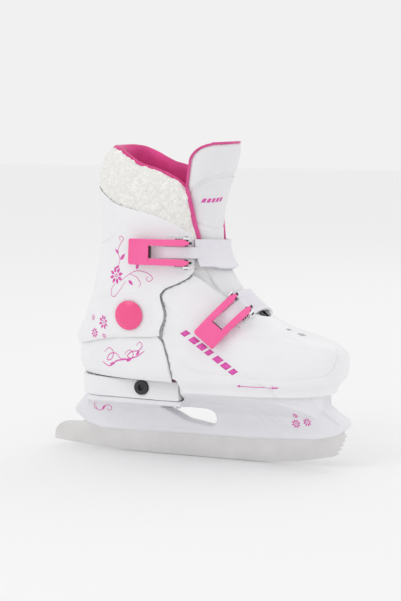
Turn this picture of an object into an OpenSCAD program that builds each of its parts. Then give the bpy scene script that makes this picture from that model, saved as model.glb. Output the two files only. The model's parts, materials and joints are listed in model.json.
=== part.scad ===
// Adjustable children's ice skate for the right foot: a soft boot in a hard shell on a steel blade.
// X runs to the toe, Y to the inner side of the foot, Z up; the origin is on the running edge.

/* [Boot] */
// Length of the boot shell, heel to toe
boot_length = 240; // [205:1:275]
// Width of the boot over the ball of the foot
boot_width = 94; // [84:1:108]
// Height of the boot from the sole to the top of the tongue
boot_height = 198; // [170:1:225]
// Height of the boot's sole above the running edge
sole_z = 62; // [56:1:70]
// Travel of the heel over the sizes
size_travel = 20; // [10:1:24]

/* [Shells] */
// Wall of the cuff
cuff_wall = 2.2; // [1.8:0.1:2.8]
// Wall of the heel shell
heel_wall = 2.2; // [1.8:0.1:2.8]
// Wall of the toe shell
toe_wall = 2.4; // [1.8:0.1:3]
// Gap between one shell and the next
shell_gap = 1; // [0.7:0.1:1.3]
// Height of the lip round the bottom of the toe shell
lip_h = 12; // [8:0.5:14]
// How far the lip stands out
lip_out = 1.4; // [0.6:0.1:2]
// How far the toe shell's lip hangs below the sole
lip_drop = 2.4; // [0:0.2:2.8]

/* [Blade] */
// Thickness of the blade
blade_t = 3; // [2.5:0.1:4]
// Rear end of the blade, measured back from the origin
blade_back = 132.5; // [126:0.5:140]
// Front end of the blade, measured forward from the origin
blade_front = 133; // [132:0.5:140]
// Rear end of the flat stretch of the running edge
flat_back = 45; // [30:1:60]
// Front end of the flat stretch of the running edge
flat_front = 50; // [30:1:60]
// Height of the blade's hidden top edge
blade_top = 27; // [25:0.5:29]
// Radius of the anchor holes that the holder is moulded through
anchor_r = 2.2; // [1.5:0.1:2.6]

/* [Blade holder] */
// Thickness of the holder's web
web_t = 15; // [12:0.5:20]
// Height of the rear deck that the heel slides on
deck_z = 50; // [48:0.5:52]
// Half width of the rear deck
deck_half = 34; // [31:0.5:36]
// Half width of the tower under the toe shell
tower_half = 37; // [33:0.5:39]

/* [Heel slide] */
// Width of the rail's top flange
rail_w = 28; // [24:0.5:32]
// Width of the rail's stem
rail_stem = 16; // [12:0.5:18]
// Thickness of the rail's flange
rail_flange = 3; // [2:0.5:4]
// Height of the rail above the deck
rail_h = 6.4; // [5.5:0.1:6.8]
// Clearance between the rail and the heel base
slide_gap = 0.4; // [0.3:0.1:0.6]
// Number of size notches
size_notches = 4; // [3:1:5]

/* [Release button] */
// Radius of the button
button_r = 6; // [5:0.25:6.5]
// Travel of the button
button_travel = 3; // [2:0.5:4]
// Radius of the button's stem
stem_r = 2.4; // [2:0.1:3]
// Running clearance of the button
button_gap = 0.1; // [0.1:0.05:0.2]

/* [Cuff pivot] */
// Radius of the pivot post
post_r = 4; // [3:0.25:5]
// Running clearance of the pivot
pivot_gap = 0.06; // [0.03:0.01:0.1]
// Radius of the pivot post's head
head_r = 7; // [6:0.25:8]
// Radius of the domed cap
cap_r = 12; // [10:0.25:13]
// Height of the domed cap
cap_h = 3.2; // [2.5:0.1:5]

/* [Buckles] */
// Length of the upper lever
upper_lever_l = 48; // [46:1:60]
// Length of the lower lever
lower_lever_l = 44.5; // [40:0.5:56]
// Width of a lever across its prongs
lever_w = 21; // [19:0.5:23]
// Thickness of a lever
lever_t = 3; // [2.5:0.1:3.5]
// Width of the slot between the prongs
slot_w = 10.6; // [9.5:0.1:11.5]
// Radius that a lever is curved to
lever_bend = 95; // [80:1:140]
// Radius of a lever's hinge pins
hinge_r = 1.4; // [1.1:0.1:1.6]
// Running clearance of a hinge pin
hinge_gap = 0.05; // [0.02:0.01:0.08]
// Width of a strap where it crosses the boot
strap_w = 22.5; // [20:0.5:24]
// Thickness of a strap
strap_t = 1.8; // [1.4:0.1:2.2]

/* [Soft parts] */
// Thickness of the fleece collar
collar_t = 9; // [7:0.5:11]
// Thickness of the toe liner
liner_t = 2.2; // [1.6:0.2:3]
// Thickness of the tongue's padding
tongue_t = 8; // [6:0.5:10]
// Thickness of the footbed
footbed_t = 4; // [3:0.5:5]

/* [Hidden] */
$fn = 48;

white = [0.95, 0.95, 0.96];
pink = [1, 0.42, 0.68];
deep_pink = [1, 0.36, 0.6];
black = [0.13, 0.12, 0.14];
steel = [0.75, 0.75, 0.77];
fleece = [0.91, 0.91, 0.88];
magenta = [0.85, 0.3, 0.55];
eps = 0.01;

// The last: the boot's outer form, in sections one above the other. Each row gives a height above the
// sole, the heel line, the front line, the half width and where the section is widest.
LAST = [
    [0, -101, 126, 48, 36], [6, -104, 132, 51, 36], [14, -106, 135.5, 52, 35],
    [24, -107.5, 136, 52.5, 33], [32, -107.5, 134.5, 52, 28], [38, -106, 130, 51.5, 20],
    [43, -103.5, 123, 51, 11], [47, -101.5, 112, 50.5, 3], [51, -99, 97, 50, -5],
    [56, -97, 82, 49, -12], [64, -94, 68, 47.5, -19], [74, -90.5, 56, 45.5, -24],
    [88, -87, 41, 43.5, -28], [100, -84, 31, 42.5, -30], [113, -82.5, 26.5, 42, -31],
    [128, -82.5, 25.5, 42, -31], [143, -83.5, 26.5, 42.5, -31], [161, -85, 31, 43, -31],
    [178, -86, 37, 43.5, -31], [200, -86, 42, 44, -31]];
last_length = 240;
last_width = 94;
last_height = 198;
// Roundness of the sections behind and ahead of their widest point
back_power = 2.2;
front_power = 2.3;
// How far the tip of the toe leans to the inner side of the foot
toe_lean = 4;
grade_x = boot_length / last_length;
grade_y = boot_width / last_width;
grade_z = boot_height / last_height;

// Place of the cuff's pivot on the last, and the flat lands that it sits on
pivot_last_x = -39;
pivot_last_h = 59;
pivot_x = pivot_last_x * grade_x;
pivot_z = sole_z + pivot_last_h * grade_z;
land_y = 46 * grade_y;
land_r = 15;
land_blend = 13;

function clamp(v, low, high) = min(max(v, low), high);
function smooth(t) = let (u = clamp(t, 0, 1)) u * u * (3 - 2 * u);
function unit(v) = v / norm(v);
function mix(a, b, t) = a + (b - a) * t;
function row(h, k = 0) = (k >= len(LAST) - 2 || h < LAST[k + 1][0]) ? k : row(h, k + 1);
function slope(k, c) = let (i = max(k - 1, 0), j = min(k + 1, len(LAST) - 1))
    (LAST[j][c] - LAST[i][c]) / (LAST[j][0] - LAST[i][0]);
function last(h, c) = let (
    k = row(h), w = LAST[k + 1][0] - LAST[k][0], t = (max(h, 0) - LAST[k][0]) / w)
    (2 * t * t * t - 3 * t * t + 1) * LAST[k][c] + (t * t * t - 2 * t * t + t) * w * slope(k, c)
    + (3 * t * t - 2 * t * t * t) * LAST[k + 1][c] + (t * t * t - t * t) * w * slope(k + 1, c);
function power(v, p) = sign(v) * pow(abs(v), p);

// A point of the last's surface at height h and angle a: 0 at the heel, 90 inner side, 180 front
function last_point(h, a) = let (
    mid = last(h, 4),
    reach = cos(a) > 0 ? mid - last(h, 1) : last(h, 2) - mid,
    p = 2 / (cos(a) > 0 ? back_power : front_power),
    x = (mid - reach * power(cos(a), p)) * grade_x,
    side = last(h, 3) * power(sin(a), p) * grade_y,
    z = sole_z + h * grade_z,
    land = abs(side) > 30 * grade_y
        ? smooth((land_r + land_blend - norm([x - pivot_x, z - pivot_z])) / land_blend) : 0,
    y = sign(side) * mix(abs(side), land_y, land) + toe_lean * pow(max(x / last(24, 2), 0), 2))
    [x, y, z];
function last_normal(h, a) = let (step = 0.25)
    unit(cross(last_point(h + step, a) - last_point(h - step, a),
        last_point(h, a + step) - last_point(h, a - step)));
// A point that lies a depth below the last's surface
function skin(h, a, depth) = last_point(h, a) - depth * last_normal(h, a);
// The angle at which a section passes a length x, on the inner side
function angle_at(h, x) = let (mid = last(h, 4))
    x < mid ? acos(pow(clamp((mid - x) / (mid - last(h, 1)), 0, 1), back_power / 2))
        : 180 - acos(pow(clamp((x - mid) / (last(h, 2) - mid), 0, 1), front_power / 2));

// Depths of the nested shells below the last's surface
fastener_room = 1.6;
heel_depth = cuff_wall + shell_gap;
toe_depth = heel_depth + heel_wall + shell_gap;
liner_depth = toe_depth + toe_wall + fastener_room;
heel_liner_depth = liner_depth + liner_t + shell_gap;

// Edges of the shells, each a height on the last and the length at which the shell ends
cuff_front = [[43, -11], [48, -11], [57, -8], [63, -8], [73, -12], [77, -13], [82, -9], [86, 1],
    [91, 10], [96, 13.5], [125, 12]];
heel_front = [[4, -1.5], [8, -1.5], [24, -5], [38, -9.5], [43, -14], [50, -21], [62, -24], [74, -26]];
toe_rear = [[0, -40], [46, -40], [51, -30], [67, -30], [72, -40], [100, -40]];
// Edges that run round a shell: a share of the way from its middle to its end, and a height
cuff_top = [[0, 163], [0.2, 161.5], [0.37, 155], [0.49, 148.5], [0.63, 145], [0.73, 141], [0.86, 134],
    [1, 124]];
cuff_foot = [[0, 30], [0.41, 32], [0.7, 39.5], [1, 43.5]];
heel_top = [[0, 62], [0.5, 66], [1, 73]];
toe_top = [[0, 63], [0.12, 64.5], [0.22, 68], [0.3, 74], [0.36, 80], [0.42, 86], [0.5, 93], [0.56, 94.5],
    [0.64, 92.5], [0.8, 87], [1, 84]];

// Closed sheet between two grids of points; each grid is a list of columns
module sheet(outer, inner) {
    cols = len(outer);
    rows = len(outer[0]);
    n = cols * rows;
    function at(i, j) = i * rows + j;
    function quad(a, b, c, d) = [[a, b, c], [a, c, d]];
    skins = [for (i = [0:cols - 2], j = [0:rows - 2]) each concat(
        quad(at(i, j), at(i + 1, j), at(i + 1, j + 1), at(i, j + 1)),
        quad(n + at(i, j), n + at(i, j + 1), n + at(i + 1, j + 1), n + at(i + 1, j)))];
    ends = [for (j = [0:rows - 2]) each concat(
        quad(at(0, j), at(0, j + 1), n + at(0, j + 1), n + at(0, j)),
        quad(at(cols - 1, j), n + at(cols - 1, j), n + at(cols - 1, j + 1), at(cols - 1, j + 1)))];
    edges = [for (i = [0:cols - 2]) each concat(
        quad(at(i, 0), n + at(i, 0), n + at(i + 1, 0), at(i + 1, 0)),
        quad(at(i, rows - 1), at(i + 1, rows - 1), n + at(i + 1, rows - 1), n + at(i, rows - 1)))];
    polyhedron(concat([for (c = outer) each c], [for (c = inner) each c]), concat(skins, ends, edges));
}

// Tube of six sides along a list of points, which turns no more than its path does
module tube(path, r, sides = 6) {
    n = len(path);
    function along(i) = unit(path[clamp(i + 1, 0, n - 1)] - path[clamp(i - 1, 0, n - 1)]);
    function square(u, i) = unit(u - (u * along(i)) * along(i));
    first = square(abs(along(0)[2]) > 0.9 ? [1, 0, 0] : [0, 0, 1], 0);
    across = [for (i = 0, u = first; i < n; i = i + 1, u = square(u, min(i, n - 1))) u];
    ring = [for (i = [0:n - 1]) let (u = across[i], v = cross(along(i), u))
        for (k = [0:sides - 1]) path[i] + r * (cos(k * 360 / sides) * u + sin(k * 360 / sides) * v)];
    walls = [for (i = [0:n - 2], k = [0:sides - 1]) let (l = (k + 1) % sides, a = i * sides)
        each [[a + k, a + sides + k, a + sides + l], [a + k, a + sides + l, a + l]]];
    polyhedron(ring, concat(walls, [[for (k = [0:sides - 1]) k]],
        [[for (k = [sides - 1:-1:0]) (n - 1) * sides + k]]));
}

// --- Grids of the shells -------------------------------------------------------------------------
function round_heel(u, h, front, depth) = skin(h, u * angle_at(h, lookup(h, front)), depth);
function round_toe(u, h, rear, depth) = skin(h, 180 - u * (180 - angle_at(h, lookup(h, rear))), depth);

cuff_cols = 40;
cuff_rows = 18;
function cuff_grid(depth) = [for (i = [-cuff_cols / 2:cuff_cols / 2]) let (u = 2 * i / cuff_cols)
    [for (j = [0:cuff_rows]) let (
        h = mix(lookup(abs(u), cuff_foot), lookup(abs(u), cuff_top), j / cuff_rows))
        round_heel(u, h, cuff_front, depth)]];

heel_cols = 40;
heel_rows = 12;
function heel_grid(depth) = [for (i = [-heel_cols / 2:heel_cols / 2]) let (u = 2 * i / heel_cols)
    [for (j = [0:heel_rows]) let (h = mix(base_gap_h, lookup(abs(u), heel_top), j / heel_rows))
        round_heel(u, h, heel_front, depth)]];

toe_cols = 44;
toe_rows = 12;
function toe_low(u) = let (x = round_toe(u, 4, toe_rear, toe_depth)[0])
    mix(toe_floor_h, -lip_drop / grade_z, smooth((x - 1) / 7));
function toe_row(u, j) = let (low = toe_low(u), lip = max(lip_h / grade_z, low + 1.5))
    j == 0 ? low : j == 1 ? lip - 0.6 : j == 2 ? lip + 0.6
        : mix(lip + 0.6, lookup(abs(u), toe_top), (j - 2) / (toe_rows - 2));
function lip_at(u, j) = j > 1 ? 0
    : lip_out * smooth((round_toe(u, 4, toe_rear, toe_depth)[0] - 4) / 12);
function toe_grid(depth, lip = 0) = [for (i = [-toe_cols / 2:toe_cols / 2]) let (u = -2 * i / toe_cols)
    [for (j = [0:toe_rows]) round_toe(u, toe_row(u, j), toe_rear, depth - lip * lip_at(u, j))]];

// Levels of the floors
base_top = sole_z + 4.6;
base_gap_h = 4.8 / grade_z;
heel_floor = base_top + 0.2;
heel_floor_t = 2.2;
toe_floor = heel_floor + heel_floor_t + shell_gap;
toe_floor_t = 2.4;
toe_floor_h = (toe_floor - sole_z) / grade_z;
footbed_z = toe_floor + toe_floor_t;

// Outline of a floor: the last's section at a height, at a depth, between two lengths
function flat(p) = [p[0], p[1]];
module floor_plate(h, depth, z, t, rear, front) {
    translate([0, 0, z]) linear_extrude(t) intersection() {
        polygon([for (a = [0:6:354]) flat(skin(h, a, depth))]);
        translate([rear, -100]) square([front - rear, 200]);
    }
}

// --- Blade and holder ----------------------------------------------------------------------------
rocker_back = 760;
rocker_front = 290;
function edge_z(x) = x > flat_front ? pow(x - flat_front, 2) / (2 * rocker_front)
    : x < -flat_back ? pow(x + flat_back, 2) / (2 * rocker_back) : 0;
pick_teeth = 5;
pick_start = blade_front - 11;
pick_low = edge_z(pick_start);
pick_high = 27.5;
module blade_profile() {
    run = concat([for (x = [-blade_back:17.5:-flat_back - 1]) [x, edge_z(x)]], [[-flat_back, 0]],
        [[flat_front, 0]], [for (k = [1:7]) let (x = mix(flat_front, pick_start, k / 7)) [x, edge_z(x)]]);
    picks = [for (k = [1:pick_teeth]) let (t = k / pick_teeth)
        each [[mix(pick_start, blade_front, pow(t, 0.6)) + 0.6, mix(pick_low, pick_high, t) - 1.6],
            [mix(pick_start, blade_front, pow(t, 0.6)) - 1.2, mix(pick_low, pick_high, t)]]];
    heel_round = [for (a = [90:15:180]) [-blade_back + 14 + 14 * cos(a), 9 + 12 * sin(a)]];
    difference() {
        polygon(concat(run, picks, [[blade_front - 4, 31], [108, blade_top]], [[-98, blade_top]],
            [[-106, 21.6]], heel_round));
        for (x = [-80, -50, 40, 70, 100]) translate([x, blade_top - anchor_r - 1.4]) circle(anchor_r);
    }
}
module upright(t) {
    rotate([90, 0, 0]) translate([0, 0, -t / 2]) linear_extrude(t) children();
}
module blade() {
    color(steel) upright(blade_t) blade_profile();
}

holder_front = 114.5;
tower_rear = 1.2;
deck_back = 98;
rail_l = 84;
module holder_side() {
    polygon([[-97, 22], [-86, 18.9], [-62, 18.3], [5, 19.6], [56, 19.8], [110, 22.8], [121, 25.2], [129.4, 28.4],
        [133.4, 32], [134.8, 36.4], [132.6, 39.8], [125, 44], [117.6, 50], [holder_front + 0.4, 54.5],
        [holder_front, toe_floor],
        [tower_rear, toe_floor], [tower_rear, deck_z], [-deck_back + 1, deck_z], [-deck_back, deck_z - 1],
        [-109, 36], [-110.3, 33], [-109, 30.5]]);
}
module teardrop() {
    hull() {
        translate([15, 35.2]) circle(8, $fn = 32);
        translate([-4, 37]) circle(6.8, $fn = 32);
        translate([-28, 42]) circle(1.2, $fn = 16);
    }
}
module holder_rear_section() {
    half = web_t / 2;
    polygon([[-half, 0], [half, 0], [half, deck_z - 12], [half + 6, deck_z - 7], [deck_half, deck_z - 4],
        [deck_half, deck_z + 30], [-deck_half, deck_z + 30], [-deck_half, deck_z - 4], [-half - 6, deck_z - 7],
        [-half, deck_z - 12]]);
}
module holder_front_section() {
    half = web_t / 2;
    polygon([[-half, 0], [half, 0], [half, 28], [half + 5, 40], [tower_half - 10, 51], [tower_half - 1, 57],
        [tower_half, 62], [tower_half, 90], [-tower_half, 90], [-tower_half, 62], [-tower_half + 1, 57],
        [-tower_half + 10, 51], [-half - 5, 40], [-half, 28]]);
}
module along_x(x0, x1) {
    translate([x0, 0, 0]) rotate([90, 0, 90]) linear_extrude(x1 - x0) children();
}
module deck_plan() {
    hull() {
        translate([-deck_back + 30, 0]) circle(30.5);
        translate([-20, -deck_half - 1]) square([25, 2 * deck_half + 2]);
    }
    translate([-111, -web_t / 2]) square([120, web_t]);
}
module tower_plan() {
    intersection() {
        polygon([for (a = [0:6:354]) flat(skin(0, a, toe_depth + 4))]);
        translate([0, -100]) square([200, 200]);
    }
    translate([100, -web_t / 2]) square([40, web_t]);
}
sole_screw_xy = [[20, 24], [20, -24], [92, 20], [92, -20]];
rail_screw_x = [-84, -16];
module blade_holder() {
    color(white) difference() {
        union() {
            intersection() {
                upright(120) holder_side();
                along_x(-120, tower_rear + eps) holder_rear_section();
                linear_extrude(deck_z + 1) deck_plan();
            }
            intersection() {
                upright(120) holder_side();
                along_x(tower_rear, 150) holder_front_section();
                linear_extrude(90) tower_plan();
            }
        }
        upright(blade_t) blade_profile();
        upright(web_t * 8) teardrop();
        for (x = [32, 62]) translate([x, -18, toe_floor - 16]) cube([24, 36, 20]);
        for (p = sole_screw_xy) translate([p[0], p[1], toe_floor - 14]) cylinder(h = 20, r = 1.9);
        for (x = rail_screw_x) translate([x, 0, deck_z - 12]) cylinder(h = 14, r = 1.9);
    }
}
// Screw whose head rests at z = 0 and whose shank points down
module screw(length, shank = 1.9, head = 3.8, head_h = 2) {
    difference() {
        union() {
            translate([0, 0, -length]) cylinder(h = length + eps, r = shank);
            cylinder(h = head_h, r = head);
        }
        translate([0, 0, head_h - 1.4]) cylinder(h = 2, r = 1.6, $fn = 6);
    }
}
module sole_screws() {
    color(steel) for (p = sole_screw_xy) translate([p[0], p[1], toe_floor + toe_floor_t]) screw(14);
}

// --- Heel slide ----------------------------------------------------------------------------------
rail_back = -90;
rack_y = -rail_w / 2 + 5;
notch_pitch = size_travel / (size_notches - 1);
button_x = -34;
button_z = deck_z + 10.2;
hook_w = 3.2;
module heel_rail() {
    color(steel) difference() {
        union() {
            translate([rail_back, -rail_stem / 2, deck_z]) cube([rail_l, rail_stem, rail_h]);
            translate([rail_back, -rail_w / 2, deck_z + rail_h - rail_flange])
                cube([rail_l, rail_w, rail_flange]);
        }
        translate([rail_back - 1, rack_y, deck_z + rail_h - 2]) cube([rail_l + 2, rail_w, 3]);
        for (k = [0:size_notches - 1])
            translate([button_x - k * notch_pitch - hook_w / 2 - 0.4, rack_y - 2.4, deck_z + rail_h - 2])
                cube([hook_w + 0.8, 3, 3]);
        for (x = rail_screw_x) translate([x, 0, deck_z - 1]) cylinder(h = 12, r = 1.9);
        for (x = rail_screw_x) translate([x, 0, deck_z + rail_h - 2 - 1.6]) cylinder(h = 4, r = 4.2);
    }
}
module rail_screws() {
    color(steel) for (x = rail_screw_x) translate([x, 0, deck_z + rail_h - 3.6]) screw(14, head_h = 1.5);
}
base_front = -0.6;
base_wall = 2.6;
cavity_z = deck_z + rail_h + 6.6;
module heel_base_plan(grow = 0) {
    hull() {
        translate([-70, 0]) circle(31 + grow);
        translate([base_front - 20, -deck_half - grow]) square([20, 2 * (deck_half + grow)]);
    }
}
heel_screw_xy = [[-84, 20], [-84, -20], [-12, 22], [-12, -22]];
button_y = -deck_half - 1.2;
button_t = 5;
// Room for the pressed spring between the button and the rib that it bears on
spring_room = 7.2;
rib_y = button_y + button_t + button_travel + spring_room;
module heel_base() {
    bottom = deck_z + 0.4;
    lip_z = deck_z + rail_h - rail_flange - slide_gap;
    color(white) difference() {
        translate([0, 0, bottom]) linear_extrude(base_top - bottom) heel_base_plan();
        // Channel for the rail, open to the front
        translate([rail_back - 3 - 0.8, -rail_w / 2 - slide_gap, lip_z])
            cube([200, rail_w + 2 * slide_gap, cavity_z - lip_z]);
        translate([rail_back - 3 - 0.8, -rail_stem / 2 - slide_gap, bottom - 1])
            cube([200, rail_stem + 2 * slide_gap, 12]);
        // Pocket for the button and its spring
        translate([button_x, 0, button_z]) rotate([90, 0, 0]) {
            cylinder(h = 60, r = stem_r + button_gap);
            translate([0, 0, -rib_y + 2]) cylinder(h = 60, r = button_r + button_gap);
        }
        for (p = heel_screw_xy) translate([p[0], p[1], base_top - 10]) cylinder(h = 11, r = 1.9);
    }
}
module heel_screws() {
    color(steel) for (p = heel_screw_xy) translate([p[0], p[1], heel_floor + 1]) screw(10, head_h = 1.5, head = 3.4);
}
hook_y = rack_y + 0.4;
hook_t = 2;
neck_r = 1.5;
hook_low = deck_z + rail_h - 1.4;
module release_button() {
    color(black) difference() {
        translate([button_x, button_y, button_z]) rotate([-90, 0, 0]) {
            cylinder(h = button_t, r = button_r);
            cylinder(h = hook_y - button_y, r = stem_r);
            cylinder(h = hook_y - button_y + hook_t, r = neck_r);
        }
        translate([button_x, button_y - 1, button_z]) rotate([-90, 0, 0]) cylinder(h = 3, r = 2.6);
    }
}
// Hook that reaches down to the rail's notches from their inner side
module latch_hook() {
    color(steel) difference() {
        translate([button_x - hook_w / 2, hook_y, hook_low])
            cube([hook_w, hook_t, button_z + stem_r - hook_low]);
        translate([button_x, hook_y - 1, button_z]) rotate([-90, 0, 0]) cylinder(h = hook_t + 2, r = neck_r);
    }
}
spring_turns = 5;
module button_spring() {
    y0 = button_y + button_t + 0.6;
    y1 = rib_y - 2.6;
    color(steel) tube([for (k = [0:14 * spring_turns]) let (a = k * 360 / 14)
        [button_x + 4 * cos(a), mix(y0, y1, k / (14 * spring_turns)), button_z + 4 * sin(a)]], 0.45);
}

// --- Shells --------------------------------------------------------------------------------------
module both_sides() {
    for (s = [-1, 1]) scale([1, s, 1]) children();
}
module pivot_bore(r) {
    translate([pivot_x, 60, pivot_z]) rotate([90, 0, 0]) cylinder(h = 120, r = r);
}
vent_h = [54, 51.2];
module vent() {
    square([5, 4], center = true);
    for (x = [-2.5, 2.5]) translate([x, 0]) circle(2);
}
module toe_shell() {
    color(white) difference() {
        union() {
            sheet(toe_grid(toe_depth, 1), toe_grid(toe_depth + toe_wall));
            floor_plate(toe_floor_h + 1, toe_depth + toe_wall / 2, toe_floor, toe_floor_t, -38 * grade_x, 200);
        }
        for (p = sole_screw_xy) translate([p[0], p[1], toe_floor - 5]) cylinder(h = 12, r = 2.1);
        for (h = vent_h) translate(last_point(h, 180)) rotate([0, 12, 0]) translate([0, 0, -14])
            linear_extrude(24) vent();
        on_skin(lower_base_rivet) rivet_hole();
        on_skin(lower_rivet) rivet_hole();
    }
}
module heel_shell() {
    color(white) difference() {
        union() {
            sheet(heel_grid(heel_depth), heel_grid(heel_depth + heel_wall));
            floor_plate(base_gap_h + 1.5, heel_depth + heel_wall / 2, heel_floor, heel_floor_t,
                -200, -4 * grade_x);
        }
        pivot_bore(post_r);
        for (p = heel_screw_xy) translate([p[0], p[1], heel_floor - 5]) cylinder(h = 12, r = 1.9);
        for (p = heel_screw_xy) translate([p[0], p[1], heel_floor + 1]) cylinder(h = 12, r = 3.5);
    }
}
module cuff() {
    color(white) difference() {
        sheet(cuff_grid(0), cuff_grid(cuff_wall));
        pivot_bore(post_r + pivot_gap);
        on_skin(upper_base_rivet) rivet_hole();
        on_skin(upper_rivet) rivet_hole();
    }
}
module pivot_post() {
    inner = land_y - heel_depth - heel_wall;
    color(steel) translate([pivot_x, 0, pivot_z]) rotate([-90, 0, 0]) {
        translate([0, 0, inner - 1.8]) cylinder(h = land_y + 0.4 - inner + 1.8 + eps, r = post_r);
        translate([0, 0, land_y + 0.4]) cylinder(h = 1.4, r = head_r);
    }
}
module pivot_post_medial() pivot_post();
module pivot_post_lateral() mirror([0, 1, 0]) pivot_post();
module pivot_washers() {
    color(steel) both_sides() translate([pivot_x, land_y - heel_depth - heel_wall - 1.3, pivot_z])
        rotate([-90, 0, 0]) difference() {
            cylinder(h = 1.2, r = head_r - 0.5);
            translate([0, 0, -1]) cylinder(h = 4, r = post_r);
        }
}
module pivot_cap() {
    rise = cap_h;
    ball = (cap_r * cap_r + rise * rise) / (2 * rise);
    color(deep_pink) translate([pivot_x, land_y + 0.4, pivot_z]) rotate([-90, 0, 0]) difference() {
        intersection() {
            translate([0, 0, rise + 1 - ball]) sphere(ball, $fn = 96);
            cylinder(h = rise + 2, r = cap_r);
        }
        translate([0, 0, -1]) cylinder(h = 1 + 1.4, r = head_r);
    }
}
module pivot_cap_medial() pivot_cap();
module pivot_cap_lateral() mirror([0, 1, 0]) pivot_cap();

// --- Straps and buckles --------------------------------------------------------------------------
// A frame is a point and three directions: along, across, outward
function buckle_frame(hinge, end, hinge_up, end_up) = let (
    p = skin(hinge[0], hinge[1], -hinge_up), q = skin(end[0], end[1], -end_up),
    out = unit(last_normal(hinge[0], hinge[1]) + last_normal(end[0], end[1])),
    u = unit(q - p), v = unit(cross(out, u))) [p, u, v, cross(u, v)];
function skin_frame(h, a, depth) = let (
    n = last_normal(h, a), u = unit(cross([0, 0, 1], n))) [skin(h, a, depth), u, cross(n, u), n];
module in_frame(f) {
    multmatrix([[f[1][0], f[2][0], f[3][0], f[0][0]], [f[1][1], f[2][1], f[3][1], f[0][1]],
        [f[1][2], f[2][2], f[3][2], f[0][2]], [0, 0, 0, 1]]) children();
}
module on_skin(place) {
    in_frame(skin_frame(place[0], place[1], place[2])) children();
}
rivet_r = 1.9;
module rivet_hole() {
    translate([0, 0, -30]) cylinder(h = 60, r = rivet_r);
}

// Each buckle: height and angle on the last of its hinge and of its free end, and the strap's rivet
upper_hinge = [110.3, 233];
upper_end = [111.5, 274.5];
upper_rivet = [111, 104, 0];
lower_hinge = [69.5, 211];
lower_end = [42.5, 263];
lower_rivet = [54, 118, toe_depth];
upper_base_rivet = [110.4, upper_hinge[1] + 9, 0];
lower_base_rivet = [65, lower_hinge[1] + 7.5, toe_depth];
upper_frame = buckle_frame(upper_hinge, upper_end, 8.5, 8.5);
lower_frame = buckle_frame(lower_hinge, lower_end, 8.5 - toe_depth, 8.5 - toe_depth);

// Height on the last where angle a meets the plane at an offset across a frame, found by halving
function on_plane(f, offset, a, low, high, n = 20) = let (mid = (low + high) / 2)
    n == 0 ? mid : (last_point(mid, a) - f[0]) * f[2] > offset ? on_plane(f, offset, a, mid, high, n - 1)
        : on_plane(f, offset, a, low, mid, n - 1);
// Band that lies on the last from angle a0 to a1, w wide and t thick; lifts gives its height by angle
module band(f, a0, a1, w, depth, lifts, t, reach, cols = 24) {
    function grid(top) = [for (i = [0:cols]) let (a = mix(a0, a1, i / cols))
        [for (j = [-1:0.5:1]) let (h = on_plane(f, -j * w / 2, a, reach[0], reach[1]))
            skin(h, a, depth - lookup(a, lifts) - top)]];
    sheet(grid(t), grid(0));
}
function level(lift) = [[0, lift], [360, lift]];
upper_reach = [88, 135];
lower_reach = [12, 110];

// Arc in a buckle's middle plane, through the hinge line and the free end
function half_bend(l) = asin(l / 2 / lever_bend);
function sag(l, x) = sqrt(pow(lever_bend, 2) - pow(x - l / 2, 2)) - lever_bend * cos(half_bend(l));
module lever_arc(l, t) {
    polygon(concat([for (k = [0:12]) [l * k / 12, sag(l, l * k / 12) + t / 2]],
        [for (k = [12:-1:0]) [l * k / 12, sag(l, l * k / 12) - t / 2]]));
}
module across(w) {
    rotate([90, 0, 0]) translate([0, 0, -w / 2]) linear_extrude(w) children();
}
tip_r = 3;
slot_share = 0.64;
module lever_plan(l) {
    difference() {
        union() {
            translate([0, -lever_w / 2]) square([l - 2, lever_w]);
            translate([0, -lever_w / 2 + 2]) square([l, lever_w - 4]);
            for (s = [-1, 1]) translate([l - 2, s * (lever_w / 2 - 2)]) circle(2);
        }
        translate([-9, -slot_w / 2]) square([l * slot_share + 9, slot_w]);
    }
}
pawl_w = 7;
pawl_r = 1.2;
pawl_pin_r = 0.7;
pawl_ear_t = 1.4;
pawl_share = 0.74;
function pawl_spot(l) = [pawl_share * l, 0, sag(l, pawl_share * l) - lever_t / 2 - pawl_r - 0.3];
module hinge_line(r, w) {
    rotate([90, 0, 0]) cylinder(h = w, r = r, center = true);
}
module lever(l) {
    color(pink) difference() {
        union() {
            intersection() {
                across(lever_w) lever_arc(l, lever_t);
                translate([0, 0, -10]) linear_extrude(30) lever_plan(l);
            }
            for (s = [-1, 1]) translate([0, s * (lever_w + slot_w) / 4, 0])
                hinge_line(tip_r, (lever_w - slot_w) / 2);
            // Ears that carry the pawl
            for (s = [-1, 1]) translate(pawl_spot(l) + [0, s * (pawl_w / 2 + 0.3 + pawl_ear_t / 2), 0.8])
                cube([3.2, pawl_ear_t, 3.2], center = true);
        }
        hinge_line(hinge_r + hinge_gap, lever_w + 2);
        translate(pawl_spot(l)) hinge_line(pawl_pin_r, pawl_w + 8);
    }
}
module pawl_pin(l) {
    color(steel) translate(pawl_spot(l)) hinge_line(pawl_pin_r, pawl_w + 0.6 + 2 * pawl_ear_t);
}
function pawl_tilt(l) = asin((pawl_share - 0.5) * l / lever_bend);
module pawl(l) {
    color(black) translate(pawl_spot(l)) rotate([0, pawl_tilt(l), 0]) difference() {
        union() {
            hinge_line(pawl_r, pawl_w);
            translate([0, -pawl_w / 2, -pawl_r]) cube([7, pawl_w, 1]);
        }
        hinge_line(pawl_pin_r + hinge_gap, pawl_w + 2);
    }
}
ear_t = 1.8;
ear_y = lever_w / 2 + 0.4;
plate_t = 1.6;
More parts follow.
